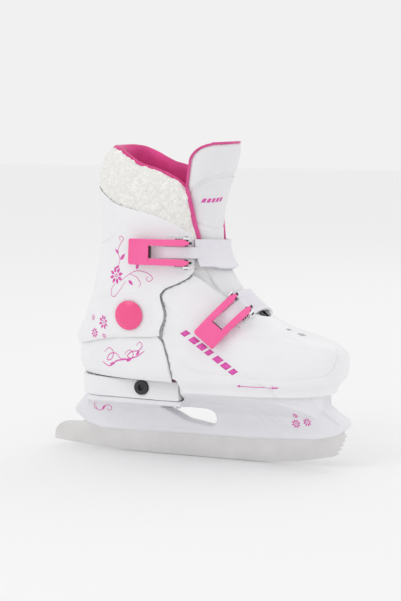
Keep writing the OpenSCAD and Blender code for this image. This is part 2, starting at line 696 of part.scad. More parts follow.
module buckle_base(f, hinge, depth, reach, place) {
    a0 = hinge[1] - 3;
    a1 = hinge[1] + 16;
    w = 2 * (ear_y + ear_t);
    color(white) difference() {
        union() {
            band(f, a0, a1, w, depth, level(0.6), plate_t, reach, cols = 6);
            difference() {
                in_frame(f) for (s = [-1, 1]) translate([0, s * (ear_y + ear_t / 2), 0]) across(ear_t)
                    union() {
                        circle(2.6);
                        translate([-2.6, -12]) square([5.2, 12]);
                    }
                band(f, a0 - 12, a1, w + 6, depth, level(-12), 13.2, reach, cols = 10);
            }
        }
        in_frame(f) hinge_line(hinge_r, 60);
        on_skin(place) rivet_hole();
    }
}
module hinge_pins(f) {
    color(black) in_frame(f) for (s = [-1, 1]) translate([0, s * (slot_w / 2 + ear_y + ear_t + 0.6) / 2, 0])
        hinge_line(hinge_r, ear_y + ear_t + 0.6 - slot_w / 2);
}
// Rivet along a place's outward direction, from a low flange at the first height to a head at the second
module rivet(z0, z1, head = 3.6) {
    color(steel) {
        translate([0, 0, z0]) cylinder(h = z1 - z0, r = rivet_r);
        translate([0, 0, z0 - 0.8]) cylinder(h = 0.8 + eps, r = head);
        translate([0, 0, z1 - eps]) cylinder(h = 0.8 + eps, r = head);
    }
}
strap_lift = 0.6;
tail_lift = 3.6;
// The tail climbs over the buckle's base and comes down again behind it
function tail_lifts(a) = [[a - 14, strap_lift], [a - 5, tail_lift], [a + 17, tail_lift], [a + 25, strap_lift]];
module strap(f, hinge, a0, a1, a2, depth, place, reach) {
    color(white) difference() {
        union() {
            band(f, a0, a1, strap_w, depth, level(strap_lift), strap_t, reach);
            band(f, a1 - 4, a2, slot_w - 1.2, depth, tail_lifts(hinge[1]), strap_t, reach);
        }
        on_skin(place) rivet_hole();
    }
}
rivet_room = 0.35;
module upper_strap() 
    strap(upper_frame, upper_hinge, 98, 223, 270, 0, upper_rivet, upper_reach);
module lower_strap() 
    strap(lower_frame, lower_hinge, 112, 202, 250, toe_depth, lower_rivet, lower_reach);
module upper_strap_rivet() on_skin(upper_rivet) rivet(-cuff_wall - rivet_room, strap_lift + strap_t + 0.3);
module lower_strap_rivet() on_skin(lower_rivet) rivet(-toe_wall - rivet_room, strap_lift + strap_t + 0.3);
module upper_buckle_base() buckle_base(upper_frame, upper_hinge, 0, upper_reach, upper_base_rivet);
module lower_buckle_base() buckle_base(lower_frame, lower_hinge, toe_depth, lower_reach, lower_base_rivet);
module upper_buckle_rivet() on_skin(upper_base_rivet) rivet(-cuff_wall - rivet_room, plate_t + 0.9);
module lower_buckle_rivet() on_skin(lower_base_rivet) rivet(-toe_wall - rivet_room, plate_t + 0.9);
module upper_hinge_pins() hinge_pins(upper_frame);
module lower_hinge_pins() hinge_pins(lower_frame);
module upper_lever() in_frame(upper_frame) lever(upper_lever_l);
module lower_lever() in_frame(lower_frame) lever(lower_lever_l);
module upper_pawl_pin() in_frame(upper_frame) pawl_pin(upper_lever_l);
module lower_pawl_pin() in_frame(lower_frame) pawl_pin(lower_lever_l);
module upper_pawl() in_frame(upper_frame) pawl(upper_lever_l);
module lower_pawl() in_frame(lower_frame) pawl(lower_lever_l);

// --- Soft parts ----------------------------------------------------------------------------------
// Half angle that the tongue takes up at each height, and how deep it lies
tongue_half = [[46, 24], [66, 24], [88, 32], [112, 34], [124, 36], [147, 47], [163, 57], [182, 61],
    [190, 58], [196, 50]];
tongue_sink = [[46, 13.4], [67, 13.2], [76, 10.5], [86, 7], [96, 2], [108, 0.5], [200, 0.5]];
tongue_foot_h = 46;
tongue_top_h = 196;
piping_r = 1.4;
collar_depth = cuff_wall + fastener_room + 0.8;
lining_t = 1.2;
// The collar's foot clears the toe shell's top edge beside the tongue
collar_foot = [[0, 84], [0.5, 84], [0.58, 98], [1, 98]];
collar_top = [[0, 196], [0.3, 196], [0.45, 194], [0.57, 190], [0.66, 184], [0.72, 180], [0.82, 176],
    [0.9, 172], [1, 163]];
toe_liner_top = [[0, 61], [0.12, 62], [0.22, 65], [0.3, 70], [0.36, 76], [0.42, 82], [0.5, 89], [0.56, 91],
    [0.64, 89], [0.8, 84], [1, 81]];
liner_rear = [[0, -38], [100, -38]];
// The heel liner starts behind the toe liner, so that it can slide back
heel_liner_front = [[0, -40], [100, -40]];
heel_liner_top = 81;
foot_h = (footbed_z - sole_z + 0.4) / grade_z;

module tongue() {
    function grid(extra) = [for (i = [-10:10]) [for (j = [0:22]) let (
        h = mix(tongue_foot_h, tongue_top_h, j / 22))
        skin(h, 180 + i / 10 * lookup(h, tongue_half), lookup(h, tongue_sink) + extra)]];
    color(white) sheet(grid(0), grid(tongue_t));
}
module tongue_piping() {
    function edge(h, s) = skin(h, 180 + s * (lookup(h, tongue_half) + 4),
        lookup(h, tongue_sink) + piping_r + 0.2);
    top_half = lookup(tongue_top_h, tongue_half);
    over = [for (k = [-4:4]) skin(tongue_top_h + 1.8, 180 - k / 4 * (top_half - 2), piping_r + 0.7)];
    color(magenta) tube(concat([for (k = [0:16]) edge(mix(100, tongue_top_h - 1, k / 16), 1)], over,
        [for (k = [16:-1:0]) edge(mix(100, tongue_top_h - 1, k / 16), -1)]), piping_r);
}
function collar_front(h) = 180 - lookup(h, tongue_half) - 7;
function collar_grid(depth) = [for (i = [-14:14]) let (u = i / 14)
    [for (j = [0:10]) let (h = mix(lookup(abs(u), collar_foot), lookup(abs(u), collar_top), j / 10))
        skin(h, u * collar_front(h), depth)]];
module collar() {
    color(fleece) sheet(collar_grid(collar_depth), collar_grid(collar_depth + collar_t));
}
module collar_lining() {
    depth = collar_depth + collar_t + 0.2;
    color(magenta) sheet(collar_grid(depth), collar_grid(depth + lining_t));
}
module heel_liner() {
    function grid(depth) = [for (i = [-12:12]) let (u = i / 12) [for (j = [0:7]) let (
        h = mix(foot_h, heel_liner_top, j / 7)) round_heel(u, h, heel_liner_front, depth)]];
    color(fleece) sheet(grid(heel_liner_depth), grid(heel_liner_depth + liner_t));
}
module toe_liner() {
    function grid(depth) = [for (i = [-16:16]) let (u = -i / 16) [for (j = [0:9]) let (
        h = mix(foot_h, lookup(abs(u), toe_liner_top), j / 9)) round_toe(u, h, liner_rear, depth)]];
    color(fleece) sheet(grid(liner_depth), grid(liner_depth + liner_t));
}
module footbed() {
    color(magenta) difference() {
        floor_plate(foot_h + 2, heel_liner_depth + liner_t + 0.6, footbed_z + 0.2, footbed_t,
            -78 * grade_x, 200);
        // Recesses over the heads of the sole screws
        for (p = sole_screw_xy) translate([p[0], p[1], footbed_z - 1]) cylinder(h = 3.4, r = 4.2);
    }
}

blade();
blade_holder();
sole_screws();
heel_rail();
rail_screws();
toe_shell();
toe_liner();
footbed();
lower_strap();
lower_strap_rivet();
lower_buckle_base();
lower_buckle_rivet();
lower_hinge_pins();
lower_lever();
lower_pawl_pin();
lower_pawl();
heel_base();
heel_shell();
heel_screws();
heel_liner();
pivot_post_lateral();
pivot_post_medial();
pivot_washers();
pivot_cap_lateral();
pivot_cap_medial();
button_spring();
release_button();
latch_hook();
cuff();
collar();
collar_lining();
tongue();
tongue_piping();
upper_strap();
upper_strap_rivet();
upper_buckle_base();
upper_buckle_rivet();
upper_hinge_pins();
upper_lever();
upper_pawl_pin();
upper_pawl();
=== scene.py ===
import json
import math

import bmesh
import bpy
import numpy as np
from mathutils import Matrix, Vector, noise
from mathutils.bvhtree import BVHTree


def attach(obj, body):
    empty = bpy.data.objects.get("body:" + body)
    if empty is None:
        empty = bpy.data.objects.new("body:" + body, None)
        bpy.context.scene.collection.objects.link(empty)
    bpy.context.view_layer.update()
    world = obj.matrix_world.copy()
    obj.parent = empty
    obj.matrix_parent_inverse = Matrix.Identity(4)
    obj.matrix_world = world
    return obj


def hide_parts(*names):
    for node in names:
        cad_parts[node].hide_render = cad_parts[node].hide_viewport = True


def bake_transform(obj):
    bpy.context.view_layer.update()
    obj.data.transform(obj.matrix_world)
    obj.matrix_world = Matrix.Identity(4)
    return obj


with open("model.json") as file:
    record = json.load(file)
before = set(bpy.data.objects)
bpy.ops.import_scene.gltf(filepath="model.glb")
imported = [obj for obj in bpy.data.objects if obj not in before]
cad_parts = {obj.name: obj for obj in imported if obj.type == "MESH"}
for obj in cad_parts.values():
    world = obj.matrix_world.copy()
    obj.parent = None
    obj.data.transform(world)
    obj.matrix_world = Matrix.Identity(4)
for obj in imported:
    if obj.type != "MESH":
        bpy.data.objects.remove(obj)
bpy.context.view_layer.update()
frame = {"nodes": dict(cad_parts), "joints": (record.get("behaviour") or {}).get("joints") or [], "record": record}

# Lengths in this script are in millimetres, in the CAD's own frame: X to the toe, Y to the inner side
# of the foot, Z up. MM turns them into metres.
MM = 0.001
JOINTS = {joint["name"]: joint for joint in frame["joints"]}
PIVOT = np.array(JOINTS["cuff_pivot"]["pos_m"]) / MM
SOLE_Z = PIVOT[2] - 59


# --- The last: the boot's outer form --------------------------------------------------------------
# Height above the sole, heel line, front line, half width, and where the section is widest
LAST = np.array([
    (0, -101, 126, 48, 36), (6, -104, 132, 51, 36), (14, -106, 135.5, 52, 35),
    (24, -107.5, 136, 52.5, 33), (32, -107.5, 134.5, 52, 28), (38, -106, 130, 51.5, 20),
    (43, -103.5, 123, 51, 11), (47, -101.5, 112, 50.5, 3), (51, -99, 97, 50, -5),
    (56, -97, 82, 49, -12), (64, -94, 68, 47.5, -19), (74, -90.5, 56, 45.5, -24),
    (88, -87, 41, 43.5, -28), (100, -84, 31, 42.5, -30), (113, -82.5, 26.5, 42, -31),
    (128, -82.5, 25.5, 42, -31), (143, -83.5, 26.5, 42.5, -31), (161, -85, 31, 43, -31),
    (178, -86, 37, 43.5, -31), (200, -86, 42, 44, -31)], float)
HEEL, FRONT, HALF, MIDDLE = 1, 2, 3, 4
BACK_POWER = 2.2
FRONT_POWER = 2.3
TOE_LEAN = 4
LAND_Y = 46
LAND_R = 15
LAND_BLEND = 13
rows = len(LAST)
SLOPES = np.array([
    (LAST[min(k + 1, rows - 1)] - LAST[max(k - 1, 0)])
    / (LAST[min(k + 1, rows - 1), 0] - LAST[max(k - 1, 0), 0]) for k in range(rows)])


def smooth(t):
    u = np.clip(t, 0, 1)
    return u * u * (3 - 2 * u)


def mix(a, b, t):
    return a + (b - a) * t


def last(h, c):
    """A column of the last at heights h, as a smooth curve through its rows."""
    h = np.maximum(np.asarray(h, float), 0)
    k = np.clip(np.searchsorted(LAST[:, 0], h, side="right") - 1, 0, rows - 2)
    w = LAST[k + 1, 0] - LAST[k, 0]
    t = (h - LAST[k, 0]) / w
    return ((2 * t**3 - 3 * t**2 + 1) * LAST[k, c] + (t**3 - 2 * t**2 + t) * w * SLOPES[k, c]
            + (3 * t**2 - 2 * t**3) * LAST[k + 1, c] + (t**3 - t**2) * w * SLOPES[k + 1, c])


def power(v, p):
    return np.sign(v) * np.abs(v) ** p


def point(h, a):
    """Points of the last at heights h and angles a: 0 at the heel, 90 inner side, 180 front."""
    h, a = np.broadcast_arrays(np.asarray(h, float), np.asarray(a, float))
    c = np.cos(np.radians(a))
    s = np.sin(np.radians(a))
    middle = last(h, MIDDLE)
    reach = np.where(c > 0, middle - last(h, HEEL), last(h, FRONT) - middle)
    p = np.where(c > 0, 2 / BACK_POWER, 2 / FRONT_POWER)
    x = middle - reach * power(c, p)
    side = last(h, HALF) * power(s, p)
    z = SOLE_Z + h
    near = (LAND_R + LAND_BLEND - np.hypot(x - PIVOT[0], z - PIVOT[2])) / LAND_BLEND
    land = np.where(np.abs(side) > 30, smooth(near), 0)
    y = np.sign(side) * mix(np.abs(side), LAND_Y, land)
    lean = TOE_LEAN * np.maximum(x / last(24, FRONT), 0) ** 2
    return np.stack([x, y + lean, z], -1)


def normal(h, a, step=0.25):
    n = np.cross(point(h + step, a) - point(h - step, a), point(h, a + step) - point(h, a - step))
    return n / np.linalg.norm(n, axis=-1, keepdims=True)


def skin(h, a, depth):
    """Points a depth below the last."""
    h, a, depth = np.broadcast_arrays(*(np.asarray(v, float) for v in (h, a, depth)))
    return point(h, a) - depth[..., None] * normal(h, a)


def angle_at(h, x):
    """The angle, on the inner side, at which a section passes a length x."""
    middle = last(h, MIDDLE)
    back = np.clip((middle - x) / (middle - last(h, HEEL)), 0, 1)
    front = np.clip((x - middle) / (last(h, FRONT) - middle), 0, 1)
    return np.where(x < middle, np.degrees(np.arccos(back ** (BACK_POWER / 2))),
                    180 - np.degrees(np.arccos(front ** (FRONT_POWER / 2))))


def table(x, pairs, ease=0.0):
    """A value looked up in pairs of numbers, with its corners eased over a width."""
    xs, ys = np.array(pairs, float).T
    taps = np.linspace(-1, 1, 9) * ease
    return np.mean([np.interp(x + t, xs, ys) for t in taps], axis=0)


CUFF_WALL = 2.2
HEEL_DEPTH = 3.2
HEEL_WALL = 2.2
TOE_DEPTH = 6.4
TOE_WALL = 2.4
CUFF_FRONT = [(43, -11), (48, -11), (57, -8), (63, -8), (73, -12), (77, -13), (82, -9), (86, 1),
              (91, 10), (96, 13.5), (125, 12)]
HEEL_FRONT = [(4, -1.5), (8, -1.5), (24, -5), (38, -9.5), (43, -14), (50, -21), (62, -24), (74, -26)]
TOE_REAR = [(0, -40), (46, -40), (51, -30), (67, -30), (72, -40), (100, -40)]
CUFF_TOP = [(0, 163), (0.2, 161.5), (0.37, 155), (0.49, 148.5), (0.63, 145), (0.73, 141), (0.86, 134),
            (1, 124)]
CUFF_FOOT = [(0, 30), (0.41, 32), (0.7, 39.5), (1, 43.5)]
HEEL_TOP = [(0, 62), (0.5, 66), (1, 73)]
TOE_TOP = [(0, 63), (0.12, 64.5), (0.22, 68), (0.3, 74), (0.36, 80), (0.42, 86), (0.5, 93),
           (0.56, 94.5), (0.64, 92.5), (0.8, 87), (1, 84)]
BASE_GAP_H = 4.8
TOE_FLOOR_H = 7.7


# --- Materials ------------------------------------------------------------------------------------
def new_material(name, color, roughness, **settings):
    """A Principled material and its node tree's tools; colours and numbers go on its own sockets."""
    material = bpy.data.materials.new(name)
    material.use_nodes = True
    tree = material.node_tree
    shader = tree.nodes["Principled BSDF"]
    shader.inputs["Base Color"].default_value = (*color, 1)
    shader.inputs["Roughness"].default_value = roughness
    for key, value in settings.items():
        shader.inputs[key.replace("_", " ").title()].default_value = value
    return material, tree, shader


def add_node(tree, kind, **settings):
    node = tree.nodes.new(kind)
    for key, value in settings.items():
        if key in node.inputs:
            node.inputs[key].default_value = value
        else:
            setattr(node, key, value)
    return node


def object_place(tree, scale=(1, 1, 1)):
    """Object coordinates in millimetres, stretched by a scale."""
    place = add_node(tree, "ShaderNodeTexCoord")
    mapping = add_node(tree, "ShaderNodeMapping")
    mapping.inputs["Scale"].default_value = tuple(s / MM for s in scale)
    tree.links.new(place.outputs["Object"], mapping.inputs["Vector"])
    return mapping.outputs["Vector"]


def noise_of(tree, place, scale, detail=4, roughness=0.55):
    texture = add_node(tree, "ShaderNodeTexNoise", Scale=scale, Detail=detail, Roughness=roughness)
    tree.links.new(place, texture.inputs["Vector"])
    return texture.outputs["Fac"]


def ranged(tree, value, low, high, new_low, new_high):
    node = add_node(tree, "ShaderNodeMapRange")
    for key, number in zip(("From Min", "From Max", "To Min", "To Max"), (low, high, new_low, new_high)):
        node.inputs[key].default_value = number
    tree.links.new(value, node.inputs["Value"])
    return node.outputs["Result"]


def colour_between(tree, value, colors, spots=(0.3, 0.7)):
    ramp = add_node(tree, "ShaderNodeValToRGB")
    for element, spot, color in zip(ramp.color_ramp.elements, spots, colors):
        element.position = spot
        element.color = (*color, 1)
    tree.links.new(value, ramp.inputs["Fac"])
    return ramp.outputs["Color"]


def bump(tree, shader, height, distance, strength=1.0, below=None):
    node = add_node(tree, "ShaderNodeBump", Strength=strength, Distance=distance * MM)
    tree.links.new(height, node.inputs["Height"])
    if below is not None:
        tree.links.new(below, node.inputs["Normal"])
    tree.links.new(node.outputs["Normal"], shader.inputs["Normal"])
    return node.outputs["Normal"]


def plastic(name, color, deeper, roughness, grain=0.03, coat=0.0, grain_size=2.2):
    """Moulded plastic: faint mottling, a fine moulded grain and scuffs that change its gloss."""
    material, tree, shader = new_material(name, color, roughness, coat_weight=coat)
    shader.inputs["Coat Roughness"].default_value = 0.15
    place = object_place(tree)
    mottle = noise_of(tree, place, 0.035, 3)
    tree.links.new(colour_between(tree, mottle, (deeper, color)), shader.inputs["Base Color"])
    scuffs = noise_of(tree, object_place(tree, (0.3, 1, 1.6)), 0.16, 8, 0.7)
    tree.links.new(ranged(tree, scuffs, 0.35, 0.7, roughness - 0.05, roughness + 0.1),
                   shader.inputs["Roughness"])
    waves = bump(tree, shader, noise_of(tree, place, 0.05, 2), 0.1, 0.35)
    bump(tree, shader, noise_of(tree, place, grain_size, 2), grain, 0.5, waves)
    return material


def woven(name, color, deeper, roughness, pitch, sheen, height=0.12):
    """Woven cloth: two crossing sets of threads, with a little unevenness in colour."""
    material, tree, shader = new_material(name, color, roughness, sheen_weight=sheen)
    shader.inputs["Sheen Roughness"].default_value = 0.4
    place = object_place(tree)
    heights = []
    for direction in ("X", "Z"):
        wave = add_node(tree, "ShaderNodeTexWave", bands_direction=direction, Scale=0.32 / pitch)
        wave.inputs["Distortion"].default_value = 0.6
        wave.inputs["Detail Scale"].default_value = 0.5
        tree.links.new(place, wave.inputs["Vector"])
        heights.append(wave.outputs["Fac"])
    weave = add_node(tree, "ShaderNodeMath", operation="MULTIPLY")
    tree.links.new(heights[0], weave.inputs[0])
    tree.links.new(heights[1], weave.inputs[1])
    shade = add_node(tree, "ShaderNodeMath", operation="MULTIPLY_ADD")
    tree.links.new(weave.outputs[0], shade.inputs[0])
    shade.inputs[1].default_value = 0.35
    tree.links.new(noise_of(tree, place, 0.06, 3), shade.inputs[2])
    tree.links.new(colour_between(tree, shade.outputs[0], (deeper, color), (0.35, 0.8)),
                   shader.inputs["Base Color"])
    folds = bump(tree, shader, noise_of(tree, place, 0.09, 3), 0.5, 0.35)
    bump(tree, shader, weave.outputs[0], height, 0.6, folds)
    return material


def fleece_material():
    """Curly fleece: pale tufts, with painted shade greying the hollows between them."""
    material, tree, shader = new_material("fleece", (0.86, 0.85, 0.82), 0.95, sheen_weight=0.5)
    shader.inputs["Sheen Roughness"].default_value = 0.6
    place = object_place(tree)
    curls = add_node(tree, "ShaderNodeTexVoronoi", feature="SMOOTH_F1", Scale=0.42)
    curls.inputs["Smoothness"].default_value = 0.4
    tree.links.new(place, curls.inputs["Vector"])
    hairs = noise_of(tree, place, 1.7, 5, 0.7)
    spread = add_node(tree, "ShaderNodeMath", operation="MULTIPLY_ADD")
    tree.links.new(noise_of(tree, place, 0.16, 3), spread.inputs[0])
    spread.inputs[1].default_value = 0.9
    tree.links.new(curls.outputs["Distance"], spread.inputs[2])
    # Painted shade: the colour turns greyer towards each curl's edge, where its bump sinks into a hollow between
    # tufts.
    tree.links.new(colour_between(tree, spread.outputs[0], ((0.98, 0.975, 0.955), (0.86, 0.85, 0.815)),
                                  (0.6, 1.3)), shader.inputs["Base Color"])
    loops = bump(tree, shader, ranged(tree, curls.outputs["Distance"], 0, 0.8, 1, 0), 0.7, 0.55)
    bump(tree, shader, hairs, 0.25, 0.45, loops)
    return material


def brushed(name, color, deeper, roughness, along=(0.02, 1, 1), mark=0.02):
    """Brushed metal: long fine lines in its gloss and height."""
    material, tree, shader = new_material(name, color, roughness, metallic=1.0)
    lines = noise_of(tree, object_place(tree, along), 2.4, 6, 0.7)
    cloud = noise_of(tree, object_place(tree), 0.05, 3)
    tree.links.new(colour_between(tree, cloud, (deeper, color)), shader.inputs["Base Color"])
    tree.links.new(ranged(tree, lines, 0.3, 0.7, roughness - 0.08, roughness + 0.12),
                   shader.inputs["Roughness"])
    bump(tree, shader, lines, mark, 0.5)
    return material


def print_material():
    """Printed decoration: ink with faint wear."""
    material, tree, shader = new_material("print_ink", (0.8, 0.09, 0.45), 0.38)
    wear = noise_of(tree, object_place(tree), 0.5, 4)
    tree.links.new(colour_between(tree, wear, ((0.84, 0.12, 0.5), (0.72, 0.06, 0.42)), (0.35, 0.7)),
                   shader.inputs["Base Color"])
    bump(tree, shader, wear, 0.02, 0.3)
    return material


WHITE = plastic("shell_plastic", (0.9, 0.9, 0.915), (0.87, 0.87, 0.89), 0.34, coat=0.15)
CHASSIS = plastic("holder_plastic", (0.86, 0.855, 0.885), (0.83, 0.825, 0.86), 0.38, coat=0.1)
LEVER = plastic("lever_plastic", (1.0, 0.145, 0.4), (0.95, 0.11, 0.35), 0.36, coat=0.1)
CAP = plastic("cap_plastic", (0.98, 0.09, 0.3), (0.93, 0.07, 0.26), 0.22, grain=0.01, coat=0.5)
STRAP = plastic("strap_plastic", (0.84, 0.825, 0.87), (0.8, 0.785, 0.835), 0.46)
BLACK = plastic("black_plastic", (0.018, 0.017, 0.02), (0.03, 0.028, 0.034), 0.42, grain=0.05)
FLEECE = fleece_material()
LINING = woven("pink_lining", (0.86, 0.06, 0.3), (0.62, 0.025, 0.2), 0.62, 0.7, 0.4)
PIPING = woven("piping_cloth", (0.8, 0.1, 0.34), (0.62, 0.05, 0.24), 0.55, 0.5, 0.3, 0.08)
TONGUE = woven("tongue_cloth", (0.86, 0.86, 0.875), (0.8, 0.8, 0.82), 0.6, 0.55, 0.2, 0.05)
LINER = woven("liner_cloth", (0.8, 0.79, 0.77), (0.66, 0.65, 0.63), 0.9, 1.0, 0.3, 0.2)
THREAD = woven("thread", (0.84, 0.84, 0.86), (0.74, 0.74, 0.77), 0.7, 0.3, 0.2, 0.05)
BLADE = brushed("blade_steel", (0.78, 0.77, 0.765), (0.72, 0.71, 0.705), 0.36)
HARDWARE = brushed("hardware_steel", (0.62, 0.62, 0.64), (0.5, 0.5, 0.52), 0.3, (1, 1, 0.2), 0.01)
INK = print_material()

SLOT_MATERIAL = {"shell_white": WHITE, "blade_steel": BLADE, "hardware_steel": HARDWARE,
                 "liner_cloth": LINER, "lining_pink": LINING, "fleece_white": FLEECE,
                 "tongue_white": TONGUE, "piping_pink": PIPING, "strap_lilac": STRAP,
                 "buckle_black": BLACK, "lever_pink": LEVER, "cap_pink": CAP}
for part in frame["record"]["subparts"]:
    cad_mesh = frame["nodes"][part["node"]].data
    cad_mesh.materials.clear()
    cad_mesh.materials.append(SLOT_MATERIAL[part["material_slot"]])
for rivet_node in ("upper_strap_rivet", "lower_strap_rivet", "upper_buckle_rivet", "lower_buckle_rivet"):
    frame["nodes"][rivet_node].data.materials[0] = STRAP


# --- Mesh building --------------------------------------------------------------------------------
def add_piece(name, points, faces, material, body, replaced=(), flat=False):
    mesh = bpy.data.meshes.new(name)
    mesh.from_pydata((np.asarray(points, float).reshape(-1, 3) * MM).tolist(), [], faces)
    mesh.validate()
    mesh.update()
    mesh.polygons.foreach_set("use_smooth", [not flat] * len(mesh.polygons))
    mesh.materials.append(material)
    piece = bpy.data.objects.new(name, mesh)
    bpy.context.scene.collection.objects.link(piece)
    if body:
        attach(piece, body)
    if replaced:
        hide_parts(*replaced)
    return piece


def bake(piece):
    """Applies a piece's modifiers to its mesh."""
    graph = bpy.context.evaluated_depsgraph_get()
    mesh = bpy.data.meshes.new_from_object(piece.evaluated_get(graph))
    piece.modifiers.clear()
    piece.data = mesh
    return piece


def bevel(piece, width, segments=3, angle=40):
    modifier = piece.modifiers.new("edges", "BEVEL")
    modifier.width = width * MM
    modifier.segments = segments
    modifier.limit_method = "ANGLE"
    modifier.angle_limit = math.radians(angle)
    modifier.miter_outer = "MITER_ARC"
    return piece


def sheet_faces(cols, height):
    """Faces of a closed sheet: outer points first, then inner, each by column."""
    n = cols * height
    faces = []
    for i in range(cols - 1):
        for j in range(height - 1):
            a, b, c, d = i * height + j, (i + 1) * height + j, (i + 1) * height + j + 1, i * height + j + 1
            faces += [(a, d, c, b), (n + a, n + b, n + c, n + d)]
    for j in range(height - 1):
        a, b = j, j + 1
        faces.append((a, n + a, n + b, b))
        a, b = (cols - 1) * height + j, (cols - 1) * height + j + 1
        faces.append((a, b, n + b, n + a))
    for i in range(cols - 1):
        a, b = i * height, (i + 1) * height
        faces.append((a, b, n + b, n + a))
        a, b = a + height - 1, b + height - 1
        faces.append((a, n + a, n + b, b))
    return faces


def add_sheet(name, outer, inner, material, body, replaced=(), edge=0.7):
    cols, height = outer.shape[:2]
    faces = sheet_faces(cols, height)
    points = np.concatenate([outer.reshape(-1, 3), inner.reshape(-1, 3)])
    piece = add_piece(name, points, faces, material, body, replaced)
    fix_normals(piece)
    if edge:
        bevel(piece, edge, 3, 50)
    return piece


def fix_normals(piece):
    work = bmesh.new()
    work.from_mesh(piece.data)
    bmesh.ops.recalc_face_normals(work, faces=work.faces)
    work.to_mesh(piece.data)
    work.free()


def line_distance(x, z, line):
    """Signed distance from points to a line of corners: positive on its left."""
    best = np.full(np.shape(x), 1e9)
    sign = np.ones(np.shape(x))
    for (x0, z0), (x1, z1) in zip(line[:-1], line[1:]):
        dx, dz = x1 - x0, z1 - z0
        t = np.clip(((x - x0) * dx + (z - z0) * dz) / (dx * dx + dz * dz), 0, 1)
        d = np.hypot(x - x0 - t * dx, z - z0 - t * dz)
        side = np.sign(dx * (z - z0) - dz * (x - x0))
        sign = np.where(d < best, side, sign)
        best = np.minimum(best, d)
    return best * sign


def groove(distance, width, depth):
    return depth * np.exp(-(distance / width) ** 2)


# --- Shells ---------------------------------------------------------------------------------------
CUFF_CREASE = [(-92, 128), (-77, 130.5), (-50, 136), (-29, 140.5), (-14, 143.5), (8, 151), (24, 157)]
SCOOP = [(112, -10), (114, 30), (118, 52), (125, 65), (135, 71), (143, 69), (150, 61), (165, 44)]


def cuff_relief(h, a, x, z, u, rise):
    """How far the cuff's face is sunk: a crease, a scoop behind, and thinned edges."""
    crease = line_distance(x, z, CUFF_CREASE)
    sunk = 0.45 * smooth(0.5 - crease / 2.4) * smooth((x + 88) / 12)
    sunk += groove(crease, 0.8, 0.25) * smooth((x + 88) / 12)
    inside = (table(h, SCOOP, 3) - np.abs(a)) * 0.75
    sunk += 0.9 * smooth(inside / 3.5) + groove(inside, 1.6, -0.35)
    foot = rise * (table(np.abs(u), CUFF_TOP) - table(np.abs(u), CUFF_FOOT))
    sunk += 1.0 * smooth(1 - foot / 4)
    front = (1 - np.abs(u)) * 90
    return sunk + 0.8 * smooth(1 - front / 4)


def add_cuff():
    u = np.linspace(-1, 1, 281)[:, None]
    rise = np.linspace(0, 1, 131)[None, :]
    h = mix(table(np.abs(u), CUFF_FOOT, 0.04), table(np.abs(u), CUFF_TOP, 0.04), rise)
    a = u * angle_at(h, table(h, CUFF_FRONT, 1.2))
    base = point(h, a)
    sunk = cuff_relief(h, a, base[..., 0], base[..., 2], u, rise)
    return add_sheet("cuff_shell", skin(h, a, sunk), skin(h, a, CUFF_WALL), WHITE, "cuff",
                     ("cuff",))


def add_heel_shell():
    u = np.linspace(-1, 1, 221)[:, None]
    rise = np.linspace(0, 1, 71)[None, :]
    h = mix(BASE_GAP_H - 0.9, table(np.abs(u), HEEL_TOP, 0.04), rise)
    a = u * angle_at(h, table(h, HEEL_FRONT, 1.2))
    sunk = groove(h - BASE_GAP_H - 3.2, 0.8, 0.25) + 0.5 * smooth(1 - (h - BASE_GAP_H) / 1.6)
    sunk = sunk - 1.2 * smooth((24 - h) / 8) * smooth((h - BASE_GAP_H) / 8)
    return add_sheet("heel_cup", skin(h, a, HEEL_DEPTH + sunk), skin(h, a, HEEL_DEPTH + HEEL_WALL),
                     WHITE, "heel", ("heel_shell",))


# Height of the toe bumper's upper line, by angle from the tip of the toe
BUMPER = [(0, 40), (6, 38), (12, 31), (18, 20.5), (24, 14.5), (31, 12), (52, 10.5), (69, 10.5),
          (83, 12.5), (93, 14.5), (99.5, 21), (108, 32)]
FOLD = [(-30, 149), (-6.6, 131), (17, 112.5), (41, 95.5), (58, 83.5), (75, 70)]
SEAM = HEEL_FRONT[:4] + [(42, -11.5), (43, -11), *CUFF_FRONT[1:]]
ARCS = [[(34, 52), (38.5, 46), (42, 38), (47, 29), (52.5, 18.5)],
        [(24, 50), (30, 43), (34, 35), (39, 25), (43.5, 15)]]


def toe_relief(h, a, x, z):
    """How far the toe shell's face is sunk: its bumper, the fold along its side, and two arcs."""
    turn = np.abs(180 - a)
    over = (table(turn, BUMPER, 4) - h)
    sunk = -1.4 * smooth(over / 1.6 + 0.5) * smooth((x - 2) / 10) + groove(over + 0.8, 0.9, 0.3)
    fold = line_distance(x, z, FOLD)
    sunk += 0.8 * smooth(0.5 - fold / 3) * smooth((118 - x) / 30) - 0.25
    for arc in ARCS:
        near = line_distance(turn * 1.0, h, arc)
        inside = smooth((h - 16) / 10) * smooth((56 - h) / 8)
        sunk += (0.35 * smooth(0.5 + near / 3) + groove(near, 1.0, 0.12)) * inside
    # The rear of the side wall comes out to meet the heel shell's and the cuff's front edges
    ahead = x - table(h, SEAM, 1.2)
    return sunk - 2.6 * smooth((ahead - 0.1) / 1.2) * smooth((46 - ahead) / 40)



def add_toe_shell():
    u = np.linspace(-1, 1, 361)[:, None]
    rise = np.linspace(0, 1, 121)[None, :]
    low_x = point(4, 180 - u * (180 - angle_at(4, table(4, TOE_REAR))))[..., 0]
    low = mix(TOE_FLOOR_H, -2.4, smooth((low_x - 1) / 7))
    h = mix(low, table(np.abs(u), TOE_TOP, 0.03), rise)
    a = 180 - u * (180 - angle_at(h, table(h, TOE_REAR, 1)))
    base = point(h, a)
    sunk = toe_relief(h, a, base[..., 0], base[..., 2])
    piece = add_sheet("toe_cap", skin(h, a, TOE_DEPTH + sunk), skin(h, a, TOE_DEPTH + TOE_WALL), WHITE,
                      "chassis", ("toe_shell",))
    cut_vents(piece)
    return piece


VENTS = [(54.4, 3.4, 2.0), (51.0, 6.4, 2.7)]


